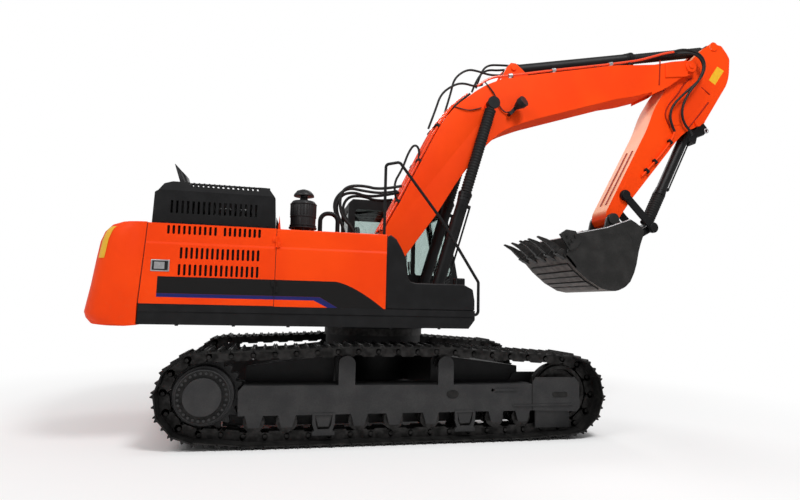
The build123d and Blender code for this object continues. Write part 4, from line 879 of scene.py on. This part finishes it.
def trim_belly(point):
    """Raise the boom's lower edge to where its plates are cut back behind the elbow."""
    for (low_x, low_z, low_rise), (high_x, high_z, high_rise) in zip(boom_belly, boom_belly[1:]):
        if low_x <= point.x < high_x:
            share = (point.x - low_x) / (high_x - low_x)
            if point.z < low_z + (high_z - low_z) * share + 0.14:
                point.z += low_rise + (high_rise - low_rise) * share
            return


def trim_head(point):
    """Widen the arm's head and cut its plates back round the bucket cylinder's foot."""
    if math.hypot(point.x - arm_rod_eye[0], point.z - arm_rod_eye[1]) < 0.085:
        return
    share = min(max((point.x - 5.300) / 0.300, 0), 1)
    point.x += 0.075 * share
    from_pin = math.hypot(point.x - bucket_cylinder_pin[0], point.z - bucket_cylinder_pin[1])
    if point.z < 4.300 + (point.x - 4.950) * 0.60 and from_pin > 0.100:
        share = min(max((point.x - 4.500) / 0.350, 0), 1)
        point.z += 0.085 * share
        point.x += 0.060 * min(max((point.x - 5.050) / 0.200, 0), 1)


rounded("boom", 0.008, orange_paint, "orange_paint", trim=trim_belly)


def arm_colour_lit_front(w):
    """Orange that pales to cream on the arm's front face, a painted highlight of the light that falls on it."""
    x, y, z = w.axes()
    facing = w.facing()[0]
    front = (1 - facing.between(-0.75, -0.45)) * z.between(2.90, 3.02)
    return (front * 0.85).mix(orange_colour(w), (0.90, 0.46, 0.26, 1))


arm_paint = finish("arm_paint", arm_colour_lit_front, matt_below, bump=(0.0002, lambda w: w.noise(60, 2)), specular=0.14)
rounded("arm", 0.008, arm_paint, "orange_paint", trim=trim_head)


def tube(name, points, radius, body, material, follows=None, sides=6):
    """A hose or pipe that is fixed at both ends, on a smooth line past a few points."""
    line = bpy.data.curves.new(name, "CURVE")
    line.dimensions = "3D"
    line.bevel_depth = radius
    line.bevel_resolution = sides
    line.resolution_u = 8
    line.use_fill_caps = True
    run = line.splines.new("NURBS")
    run.points.add(len(points) - 1)
    for knot, point in zip(run.points, points):
        knot.co = (*point, 1)
    run.order_u = 3
    run.use_endpoint_u = True
    holder = bpy.data.objects.new(name + "_line", line)
    bpy.context.collection.objects.link(holder)
    data = bpy.data.meshes.new_from_object(holder.evaluated_get(bpy.context.evaluated_depsgraph_get()))
    bpy.data.objects.remove(holder)
    data.name = name
    data.materials.clear()
    data.materials.append(material)
    data.shade_smooth()
    piece = bpy.data.objects.new(name, data)
    bpy.context.collection.objects.link(piece)
    if follows:
        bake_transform(piece)
    else:
        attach(piece, body)


boom_back = (
    # x, z along the boom's back from its foot
    (0.058, 2.495), (0.281, 2.904), (0.570, 3.502), (0.826, 4.027), (1.047, 4.338), (1.310, 4.560),
    (1.575, 4.771), (1.900, 4.868), (2.222, 4.940), (2.935, 5.104), (3.648, 5.268), (4.019, 5.315),
)


def over_back(first, last, lift, y):
    """Points at a height over the boom's back, between two of its corners."""
    points = []
    for number in range(first, last + 1):
        before, after = boom_back[max(number - 1, 0)], boom_back[min(number + 1, len(boom_back) - 1)]
        run = Vector((after[0] - before[0], after[1] - before[1])).normalized()
        x, z = boom_back[number]
        points.append((x - run.y * lift, y, z + run.x * lift))
    return points


pipe_black = finish(
    "hose_rubber", lambda w: w.noise(35, 3).mix((0.007, 0.007, 0.007, 1), (0.018, 0.018, 0.018, 1)),
    lambda w: 0.42 + w.noise(60, 3) * 0.2, bump=(0.0005, lambda w: w.noise(500, 1)), specular=0.25,
)
pipe_orange = finish(
    "pipe_orange", orange_colour, lambda w: 0.22 + w.noise(30, 2) * 0.08, coat=0.9,
    bump=(0.0002, lambda w: w.noise(90, 2)),
)
# Dark red of the seam beads and the arm's front strips: painted shade in the grooves along the welds
seam_shade_red = finish(
    "weld_seam", lambda w: w.noise(60, 2).mix((0.26, 0.010, 0.0015, 1), (0.36, 0.016, 0.0020, 1)),
    lambda w: 0.5 + w.noise(80, 2) * 0.1, specular=0.14,
)
pipe_runs = (
    # name, first corner, last corner, lift, y, radius
    ("near_outer", 0, 4, 0.030, -0.238, 0.018), ("mid_right", 0, 5, 0.044, -0.130, 0.020),
    ("mid_left", 0, 5, 0.044, 0.070, 0.020), ("far_inner", 0, 4, 0.034, 0.200, 0.017),
    ("top_far", 6, 11, 0.030, 0.235, 0.017),
)
for name, first, last, lift, y, radius in pipe_runs:
    tube(f"boom_pipe_{name}", over_back(first, last, lift, y), radius, "boom", pipe_orange)
tube(
    "boom_pipe_top_near",
    ((1.400, -0.235, 4.690), (1.560, -0.240, 4.830), (1.840, -0.245, 4.890), (2.112, -0.250, 4.948),
     (2.589, -0.250, 5.062), (3.430, -0.250, 5.246), (3.789, -0.250, 5.332), (4.103, -0.250, 5.412),
     (4.400, -0.250, 5.526), (4.560, -0.250, 5.585), (4.710, -0.250, 5.624)),
    0.018, "boom", pipe_orange,
)
clamps = bmesh.new()
for x, z in ((1.901, 4.900), (2.603, 5.066), (3.566, 5.280)):
    bar(clamps, (x - 0.030, -0.250, z - 0.007), (x + 0.030, -0.250, z + 0.007), 0.029, sides=16)
    block(clamps, (x - 0.022, -0.262, z - 0.060), (x + 0.022, -0.238, z))
keep(clamps, "boom_pipe_clamps", "boom", bright_steel, slot="casting", bevel=0.003)
for name, lift, y in (("near", 0.020, -0.195), ("far", 0.020, 0.150)):
    tube(f"boom_line_{name}", over_back(0, 5, lift, y), 0.016, "boom", pipe_black)
tube(
    "tip_line", ((3.650, -0.200, 5.275), (3.849, -0.200, 5.319), (4.246, -0.200, 5.452), (4.463, -0.200, 5.555),
                 (4.735, -0.210, 5.602)),
    0.017, "boom", pipe_black,
)
clamps = bmesh.new()
for number in (1, 2, 3):
    x, z = boom_back[number]
    run = Vector((boom_back[number + 1][0] - x, boom_back[number + 1][1] - z)).normalized()
    for low_y, high_y in ((-0.262, -0.085), (0.085, 0.210)):
        outline = [
            (x + run.x * u - run.y * v, z + run.y * u + run.x * v)
            for u, v in ((-0.020, -0.004), (0.020, -0.004), (0.020, 0.060), (-0.020, 0.060))
        ]
        plate(clamps, outline, low_y, high_y)
for x, z in ((1.930, 4.868), (2.560, 5.018), (3.300, 5.188), (3.900, 5.300)):
    for side in (-1, 1):
        low_y, high_y = sorted((side * 0.205, side * 0.262))
        plate(
            clamps, ((x - 0.02, z - 0.006), (x + 0.02, z + 0.004), (x + 0.008, z + 0.060), (x - 0.032, z + 0.050)),
            low_y, high_y,
        )
keep(clamps, "boom_pipe_clamps", "boom", black_rubber, slot="bellows_rubber", bevel=0.003)

elbow_hoses = (
    # name, points
    ("elbow_hose_low", ((0.700, -0.12, 4.020), (0.800, -0.12, 4.300), (0.880, -0.12, 4.560), (1.080, -0.12, 4.720),
                        (1.230, -0.12, 4.760), (1.420, -0.12, 4.720), (1.520, -0.12, 4.770))),
    ("elbow_hose_near", ((0.960, -0.05, 4.300), (1.050, -0.05, 4.600), (1.100, -0.05, 4.850), (1.300, -0.05, 5.010),
                         (1.480, -0.05, 5.000), (1.700, -0.05, 4.950), (1.930, -0.05, 4.995))),
    ("elbow_hose_top", ((1.480, 0.05, 4.780), (1.540, 0.05, 4.980), (1.640, 0.05, 5.160), (1.900, 0.05, 5.190),
                        (2.130, 0.05, 5.200))),
    ("elbow_hose_far", ((1.440, 0.12, 4.740), (1.520, 0.12, 4.960), (1.660, 0.12, 5.120), (1.900, 0.12, 5.130),
                        (2.060, 0.12, 5.180))),
    ("back_hose", ((0.560, -0.15, 3.560), (0.575, -0.15, 3.700), (0.490, -0.15, 3.770), (0.400, -0.15, 3.620),
                   (0.330, -0.15, 3.400), (0.190, -0.15, 3.150), (0.250, -0.15, 2.960))),
)
for name, points in elbow_hoses:
    tube(name, points, 0.016, "boom", pipe_black)
house_hoses = (
    ("house_hose_near", ((-0.300, -0.30, 2.280), (-0.340, -0.30, 2.480), (-0.520, -0.30, 2.640), (-0.560, -0.30, 2.900),
                         (-0.470, -0.30, 3.060), (-0.240, -0.28, 3.090), (0.000, -0.26, 3.050), (0.300, -0.24, 3.130))),
    ("house_hose_mid", ((-0.420, -0.20, 2.240), (-0.470, -0.20, 2.500), (-0.600, -0.20, 2.760), (-0.530, -0.20, 2.960),
                        (-0.350, -0.19, 3.010), (-0.180, -0.18, 2.960), (0.060, -0.18, 2.990), (0.280, -0.17, 3.050))),
    ("house_hose_far", ((-0.250, 0.15, 2.240), (-0.300, 0.15, 2.560), (-0.480, 0.15, 2.800), (-0.400, 0.14, 3.010),
                        (-0.180, 0.13, 3.030), (0.040, 0.12, 2.960), (0.250, 0.12, 3.000))),
    ("house_hose_back", ((-0.500, 0.05, 2.240), (-0.520, 0.05, 2.600), (-0.620, 0.04, 2.900), (-0.430, 0.04, 3.120),
                         (-0.180, 0.03, 3.080), (0.100, 0.02, 3.060), (0.300, 0.02, 3.110))),
)
for name, points in house_hoses:
    tube(name, points, 0.020, "upper", pipe_black, follows="boom")

# Dark red beads along the weld seams on the side plates of boom and arm, painted shade in the seams' grooves
seam_lines = (
    # name, body, half width, points x, z
    ("boom_tip_seam", "boom", 0.264, ((4.438, 5.440), (4.421, 5.214), (4.409, 5.030))),
    ("arm_curved_seam", "arm", 0.196, ((5.070, 5.250), (4.984, 5.202), (4.899, 5.106), (4.798, 4.948), (4.631, 4.773),
                                       (4.559, 4.633), (4.569, 4.514), (4.645, 4.390))),
    ("arm_back_seam", "arm", 0.189, ((5.375, 4.880), (5.169, 4.623), (4.990, 4.420))),
    ("arm_cross_seam", "arm", 0.189, ((5.250, 5.120), (5.407, 5.015))),
)
for name, body, half, points in seam_lines:
    for side, end in ((-1, "right"), (1, "left")):
        tube(
            f"{name}_{end}", [(x, side * half, z) for x, z in points], 0.0115, body, seam_shade_red,
            sides=2,
        )

# Work lamp, its cable, and the grease line to the boom cylinder's pin
lamp = bmesh.new()
plate(lamp, ((1.840, 4.290), (1.875, 4.262), (1.990, 4.385), (1.955, 4.425)), -0.345, -0.264)
bar(lamp, (1.950, -0.340, 4.385), (1.995, -0.400, 4.425), 0.040, sides=28, end_radius=0.078)
bar(lamp, (1.995, -0.400, 4.425), (2.030, -0.460, 4.452), 0.082, sides=32)
keep(lamp, "work_lamp", "boom", black_plastic, slot="panel_plastic", bevel=0.003)
tube(
    "lamp_cable",
    ((1.500, -0.272, 4.740), (1.640, -0.285, 4.600), (1.720, -0.285, 4.380), (1.840, -0.285, 4.290),
     (1.930, -0.330, 4.360)),
    0.009, "boom", pipe_black,
)
tube(
    "grease_line", ((1.030, -0.270, 4.330), (1.150, -0.280, 4.300), (1.300, -0.280, 4.290), (1.440, -0.280, 4.350)),
    0.007, "boom", pipe_black,
)


def boss(mesh, pin, side, inner, outer, radius, sides=36):
    """A round boss or cap on a pin's line, on one side of the machine."""
    bar(mesh, (pin[0], side * inner, pin[1]), (pin[0], side * outer, pin[1]), radius, sides=sides)


# Boom tip: cheek blocks with the pin's boss, and end caps on the boom's foot and rod pins
caps = bmesh.new()
for side in (-1, 1):
    low_y, high_y = sorted((side * 0.263, side * 0.281))
    plate(caps, ((4.530, 5.405), (4.940, 5.462), (4.930, 5.225), (4.520, 5.165)), low_y, high_y)
    boss(caps, arm_pivot, side, 0.255, 0.300, 0.095, sides=40)
    boss(caps, arm_pivot, side, 0.300, 0.312, 0.040, sides=24)
keep(caps, "boom_tip_blocks", "boom", orange_paint, slot="orange_paint", bevel=0.008)
rod_pins = bmesh.new()
foot_caps = bmesh.new()
for side in (-1, 1):
    boss(rod_pins, boom_rod_eye, side, 0.334, 0.456, 0.045, sides=32)
    boss(rod_pins, (1.566, 4.380), side, 0.446, 0.464, 0.090)
    boss(foot_caps, boom_foot, side, 0.292, 0.330, 0.085)
keep(rod_pins, "boom_rod_pins", "boom_rods", satin_black, slot="cylinder_paint", bevel=0.003)
keep(foot_caps, "boom_foot_caps", "boom", satin_black, slot="casting", bevel=0.003)

# Arm fittings: two hoses from the boom's tip, a pipe with clamps, dark red strips down the front that paint the shade
# in its grooves, doubling plates on both sides and a blank yellow plate
arm_hose_points = (
    ("arm_hose_outer", ((4.700, -0.250, 5.624), (4.800, -0.275, 5.665), (4.980, -0.305, 5.660), (5.180, -0.315, 5.590),
                        (5.240, -0.310, 5.400), (5.130, -0.300, 5.180), (4.860, -0.290, 4.950), (4.640, -0.270, 4.730),
                        (4.600, -0.250, 4.560), (4.640, -0.235, 4.420), (4.700, -0.225, 4.320))),
    ("arm_hose_inner", ((4.735, -0.210, 5.602), (4.840, -0.270, 5.610), (4.990, -0.320, 5.605), (5.130, -0.325, 5.555),
                        (5.210, -0.320, 5.400), (5.110, -0.310, 5.170), (4.930, -0.300, 4.970), (4.820, -0.280, 4.760),
                        (4.810, -0.260, 4.580), (4.880, -0.240, 4.440), (5.000, -0.230, 4.340),
                        (5.080, -0.150, 4.320))),
)
for name, points in arm_hose_points:
    tube(
        name, points, 0.019, "boom", pipe_black, follows="arm",
    )
tube(
    "arm_pipe",
    ((4.700, -0.225, 4.320), (4.680, -0.215, 4.240), (4.560, -0.212, 4.060), (4.380, -0.212, 3.850),
     (4.100, -0.212, 3.560)),
    0.017, "arm", orange_paint,
)
arm_clamps = bmesh.new()
for x, z in ((4.620, 4.150), (4.340, 3.810), (4.190, 3.650)):
    place = Matrix.Translation((x, -0.214, z)) @ Matrix.Rotation(math.radians(-49), 4, "Y")
    made = block(arm_clamps, (-0.020, -0.026, -0.042), (0.020, 0.024, 0.042))
    bmesh.ops.transform(arm_clamps, matrix=place, verts=made)
keep(arm_clamps, "arm_pipe_clamps", "arm", satin_black, slot="frame_paint", bevel=0.003)
# Dark red strips on the arm's front: painted shade of the grooves between its plates
strips = bmesh.new()
for low_y, high_y in ((-0.098, -0.070), (0.042, 0.070)):
    plate(strips, ((3.556, 3.100), (4.040, 3.986), (4.031, 3.991), (3.547, 3.105)), low_y, high_y)
keep(strips, "arm_front_seams", "arm", seam_shade_red, slot="orange_paint", bevel=0.002)
doublers = bmesh.new()
for side in (-1, 1):
    low_y, high_y = sorted((side * 0.189, side * 0.1955))
    plate(
        doublers,
        ((4.66, 4.42), (4.585, 4.52), (4.57, 4.66), (4.66, 4.87), (4.80, 5.06), (4.95, 5.20), (5.14, 5.28),
         (5.30, 5.18), (5.32, 5.02), (5.18, 4.80), (5.02, 4.62), (4.86, 4.46)),
        low_y, high_y,
    )
    boss(doublers, bucket_cylinder_pin, side, 0.188, 0.216, 0.060, sides=32)
keep(doublers, "arm_doublers", "arm", orange_paint, slot="orange_paint", bevel=0.002)
label = bmesh.new()
plate(label, ((5.573, 5.509), (5.698, 5.449), (5.517, 5.191), (5.400, 5.262)), -0.1925, -0.1895)
keep(label, "arm_label", "arm", label_yellow, slot="orange_paint")


# Hydraulic cylinders: honed steel barrels in black paint with bolted glands, chromed rods, and corded rubber bellows.

bucket_rod_eye, eye_reach = (4.270, 2.767), 0.15
for name, eye_x, eye_z in (
    ("boom_cylinder_rods", *boom_rod_eye), ("arm_cylinder_rod", *arm_rod_eye),
    ("bucket_cylinder_rod", *bucket_rod_eye),
):
    def bare(w, eye_x=eye_x, eye_z=eye_z):
        """1 on the chromed rod and 0 on the painted eye round its pin."""
        x, y, z = w.axes()
        return ((x - eye_x) ** 2 + (z - eye_z) ** 2) > eye_reach ** 2

    dress(finish(
        f"{name}_chrome", lambda w: bare(w).mix((0.007, 0.007, 0.0075, 1), (0.64, 0.64, 0.65, 1)),
        lambda w: 0.42 - bare(w) * 0.30, lambda w: bare(w) * 1.0, specular=0.22,
    ), name)
for name in ("boom_cylinder_barrels", "arm_cylinder_barrel", "bucket_cylinder_barrel"):
    rounded(name, 0.004, satin_black, "cylinder_paint")
cylinder_table = (
    # name, foot, head, barrel length, outer radius of barrel and bellows, rod radius, places,
    # barrel body, rod body
    ("boom_cylinder", (0.760, 1.635), boom_rod_eye, 1.480, 0.082, 0.081, 0.050, (-0.388, 0.388),
     "boom_barrels", "boom_rods"),
    ("arm_cylinder", (2.000, 5.075), arm_rod_eye, 2.150, 0.092, 0.080, 0.055, (0.0,),
     "arm_barrel", "arm_rod"),
    ("bucket_cylinder", bucket_cylinder_pin, bucket_rod_eye, 1.330, 0.080, 0.097, 0.048, (0.0,),
     "bucket_barrel", "bucket_rod"),
)
fold_pitch, fold_seat, fold_end_gap = 0.042, 0.004, 0.090
for name, foot, head, length, radius, fold_radius, rod_radius, places, barrel_body, rod_body in cylinder_table:
    run = Vector((head[0] - foot[0], 0, head[1] - foot[1]))
    span = run.length
    run.normalize()
    side_way = run.cross(Vector((0, 1, 0)))
    folds = bmesh.new()
    glands = bmesh.new()
    for y in places:
        origin = Vector((foot[0], y, foot[1]))
        first, last = length + fold_seat, span - fold_end_gap
        count = round((last - first) / fold_pitch)
        pitch = (last - first) / count
        profile = [folds.verts.new(origin + run * first + side_way * (rod_radius + 0.001))]
        for number in range(count):
            at = first + number * pitch
            for share, out in ((0.0, fold_radius - 0.016), (0.30, fold_radius - 0.002), (0.5, fold_radius),
                               (0.70, fold_radius - 0.002)):
                profile.append(folds.verts.new(origin + run * (at + share * pitch) + side_way * out))
        profile.append(folds.verts.new(origin + run * last + side_way * (fold_radius - 0.016)))
        profile.append(folds.verts.new(origin + run * last + side_way * (rod_radius + 0.001)))
        edges = [folds.edges.new(pair) for pair in zip(profile, profile[1:])]
        bmesh.ops.spin(
            folds, geom=profile + edges, cent=origin, axis=run, dvec=(0, 0, 0), angle=2 * math.pi, steps=36,
            use_merge=True,
        )
        for low, high, grow in (
            (0.118, 0.140, 0.008), (length - 0.120, length - 0.074, 0.006), (length - 0.030, length, 0.016),
        ):
            bar(glands, origin + run * low, origin + run * high, radius + grow, sides=40)
        for number in range(10):
            angle = 2 * math.pi * number / 10
            around = side_way * math.cos(angle) + Vector((0, 1, 0)) * math.sin(angle)
            bolt = origin + around * (radius + 0.002)
            bar(glands, bolt + run * (length - 0.002), bolt + run * (length + 0.010), 0.010, sides=6)
        # Oil ports with the steel line along the barrel
        back = Vector((-side_way.x, 0, -side_way.z)) if side_way.z > 0 else side_way
        port = origin + back * (radius - 0.010)
        bar(glands, port + run * 0.20, port + run * 0.26 + back * 0.050, 0.026, sides=20)
        bar(glands, port + run * (length - 0.17), port + run * (length - 0.17) + back * 0.050, 0.026, sides=20)
        bar(glands, port + run * 0.24 + back * 0.045, port + run * (length - 0.16) + back * 0.045, 0.013, sides=16)
    bmesh.ops.recalc_face_normals(folds, faces=folds.faces)
    fold_data = bpy.data.meshes.new(f"{name}_folds")
    folds.to_mesh(fold_data)
    folds.free()
    fold_data.materials.append(black_rubber)
    fold_data.shade_smooth()
    sleeve = bpy.data.objects.new(f"{name}_folds", fold_data)
    bpy.context.collection.objects.link(sleeve)
    start = Vector((foot[0], 0, foot[1])) + run * (length + fold_seat)
    end = Vector((foot[0], 0, foot[1])) + run * (span - fold_end_gap)
    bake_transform(sleeve)
    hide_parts(f"{name}_bellows")
    keep(glands, f"{name}_glands", barrel_body, satin_black, slot="cylinder_paint", bevel=0.002)


# Foot of the bucket cylinder: a steel head forged in one with the barrel's end, in black
# paint, with a bright ring bolted to its side to lift it by.

foot_head = bmesh.new()
plate(
    foot_head,
    ((5.240, 4.640), (5.376, 4.565), (5.430, 4.508), (5.441, 4.435), (5.368, 4.367), (5.241, 4.319), (5.209, 4.206),
     (5.073, 4.267), (5.035, 4.373), (5.100, 4.520)), -0.085, 0.085,
)
keep(foot_head, "cylinder_head", "bucket_barrel", satin_black, slot="cylinder_paint", bevel=0.012)
eye_turns = [math.radians(30 * number) for number in range(13)]
tube(
    "lifting_eye", [(5.405 + 0.034 * math.cos(turn), -0.094, 4.440 + 0.034 * math.sin(turn)) for turn in eye_turns],
    0.011, "bucket_barrel", bright_steel,
)


# Rocker and link: cast steel arms in black paint that turn on hardened pins. A round cap
# is bolted over each end of a pin.

for name in ("rocker", "bucket_link"):
    rounded(name, 0.008, satin_black, "frame_paint")
rocker_pin = (3.800, 3.240)
rocker_caps = bmesh.new()
for side in (-1, 1):
    boss(rocker_caps, rocker_pin, side, 0.232, 0.252, 0.070)
    boss(rocker_caps, bucket_rod_eye, side, 0.232, 0.254, 0.068)
keep(rocker_caps, "rocker_pin_caps", "rocker", satin_black, slot="frame_paint", bevel=0.006)


# Bucket: welded from wear plate, its sides in worn black paint and its bottom rubbed to
# brown-grey steel between five wear strips. Cast teeth sit on adapters along the lip.


def bucket_colour(w):
    """Worn black paint, and rubbed steel on what faces the ground."""
    x, y, z = w.axes()
    facing = w.facing()[2]
    bottom = (facing < -0.45) * (x < 3.33) * (y > -0.634) * (y < 0.634)
    rub = w.noise(9, 5).between(0.25, 0.75)
    bare = rub.mix((0.085, 0.072, 0.066, 1), (0.175, 0.150, 0.138, 1))
    paint = w.noise(5, 4).between(0.35, 0.75).mix((0.013, 0.0125, 0.012, 1), (0.026, 0.025, 0.024, 1))
    return bottom.mix(paint, bare)


bucket_steel = finish(
    "bucket_steel", bucket_colour, lambda w: 0.40 + w.noise(14, 4) * 0.25,
    bump=(0.0012, lambda w: w.noise(45, 4)),
)
rounded("bucket", 0.004, bucket_steel, "bucket_steel")
tooth_steel = finish(
    "tooth_steel", lambda w: w.noise(18, 4).between(0.3, 0.7).mix((0.010, 0.010, 0.010, 1), (0.030, 0.028, 0.027, 1)),
    lambda w: 0.36 + w.noise(30, 3) * 0.2, metallic=0.3, bump=(0.0015, lambda w: w.noise(50, 3)),
)
teeth = bmesh.new()
tip_outline = ((2.500, 2.222), (2.400, 2.305), (2.290, 2.402), (2.160, 2.476), (2.172, 2.494), (2.300, 2.458),
               (2.430, 2.395), (2.560, 2.285))
tooth_row, tooth_tip, adapter_end = 1.130, Vector((2.186, 2.473)), Vector((2.800, 2.190))
adapter_outline = ((2.650, 2.165), (2.610, 2.165), (2.520, 2.215), (2.430, 2.262), (2.500, 2.330), (2.590, 2.300),
                   (2.690, 2.300), (2.800, 2.230), (2.700, 2.195))
for number in range(5):
    y = (number - 2) * tooth_row / 4
    made = plate(teeth, tip_outline, y - 0.050, y + 0.050)
    for vertex in made:
        reach = min(1.0, (Vector((vertex.co.x, vertex.co.z)) - tooth_tip).length / 0.40)
        vertex.co.y = y + (vertex.co.y - y) * (0.40 + 0.60 * reach)
    made = plate(teeth, adapter_outline, y - 0.060, y + 0.060)
    for vertex in made:
        reach = min(1.0, (Vector((vertex.co.x, vertex.co.z)) - adapter_end).length / 0.25)
        vertex.co.y = y + (vertex.co.y - y) * (0.45 + 0.55 * reach)
    bar(teeth, (2.510, y - 0.066, 2.235), (2.510, y + 0.066, 2.235), 0.016, sides=14)
teeth_piece = keep(teeth, "teeth_and_adapters", "bucket", tooth_steel, slot="bucket_steel", bevel=0.006)
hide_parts("bucket_teeth")
bucket_half = 0.640
lip = bmesh.new()
plate(
    lip, ((2.700, 2.056), (2.560, 2.205), (2.540, 2.238), (2.575, 2.240), (2.640, 2.180), (2.722, 2.078)),
    -bucket_half, bucket_half,
)
keep(lip, "bucket_lip", "bucket", bucket_steel, slot="bucket_steel")

# Cheeks on both sides that stand above the shell and behind it, with their worn upper edges
cheeks = bmesh.new()
edges = bmesh.new()
cheek_back = ((3.420, 2.640), (3.508, 2.756), (3.591, 2.788), (3.673, 2.746), (3.744, 2.695), (3.795, 2.633),
              (3.782, 2.559), (3.738, 2.446), (3.704, 2.335), (3.664, 2.150), (3.625, 2.030), (3.560, 1.900),
              (3.487, 1.830), (3.480, 1.860), (3.580, 1.975), (3.640, 2.300), (3.628, 2.470), (3.550, 2.592),
              (3.440, 2.618))
cheek_top = ((2.722, 2.541), (3.201, 2.647), (3.508, 2.756), (3.588, 2.788))
for side in (-1, 1):
    plate(cheeks, cheek_back, *sorted((side * 0.290, side * 0.6408)))
    low_y, high_y = sorted((side * 0.612, side * 0.6425))
    plate(cheeks, ((2.700, 2.525), *cheek_top[:3], (3.520, 2.600), (2.860, 2.500)), low_y, high_y)
    for first, second in zip(cheek_top, cheek_top[1:]):
        bar(edges, (first[0], side * 0.628, first[1]), (second[0], side * 0.628, second[1]), 0.013, sides=10)
keep(cheeks, "bucket_cheeks", "bucket", bucket_steel, slot="bucket_steel", smooth=25)
keep(edges, "cheek_edges", "bucket", bright_steel, slot="bucket_steel")

# Black bars along the wear strips' edges that paint the shadow under each strip, and bolts of the side cutters
strip_shadow_bars = bmesh.new()
corners = [Vector((x, 0, z)) for x, z in ((2.558, 2.215), (2.721, 2.041), (2.902, 1.897), (3.118, 1.785))]
wear_strips = (
    # corner of the bottom before the strip, start and end from it
    (0, 0.118, 0.226), (1, 0.012, 0.110), (1, 0.124, 0.222), (2, 0.012, 0.114), (2, 0.128, 0.232),
)
strip_half = 0.558
for rear, start, end in wear_strips:
    run = (corners[rear + 1] - corners[rear]).normalized()
    out = Vector((run.z, 0, -run.x)) * 0.012
    low, high = corners[rear] + run * start + out, corners[rear] + run * end + out
    bar(strip_shadow_bars, (low.x, -strip_half, low.z), (low.x, strip_half, low.z), 0.011, sides=8)
    bar(strip_shadow_bars, (low.x, -strip_half, low.z), (high.x, -strip_half, high.z), 0.009, sides=8)
keep(strip_shadow_bars, "wear_strip_welds", "bucket", tooth_steel, slot="bucket_steel")
cutters = bmesh.new()
for side in (-1, 1):
    for x, z in ((2.560, 2.500), (2.640, 2.440), (2.600, 2.400), (2.690, 2.500)):
        boss(cutters, (x, z), side, 0.664, 0.684, 0.022, sides=6)
keep(cutters, "cutter_bolts", "bucket", tooth_steel, slot="bucket_steel", bevel=0.002)
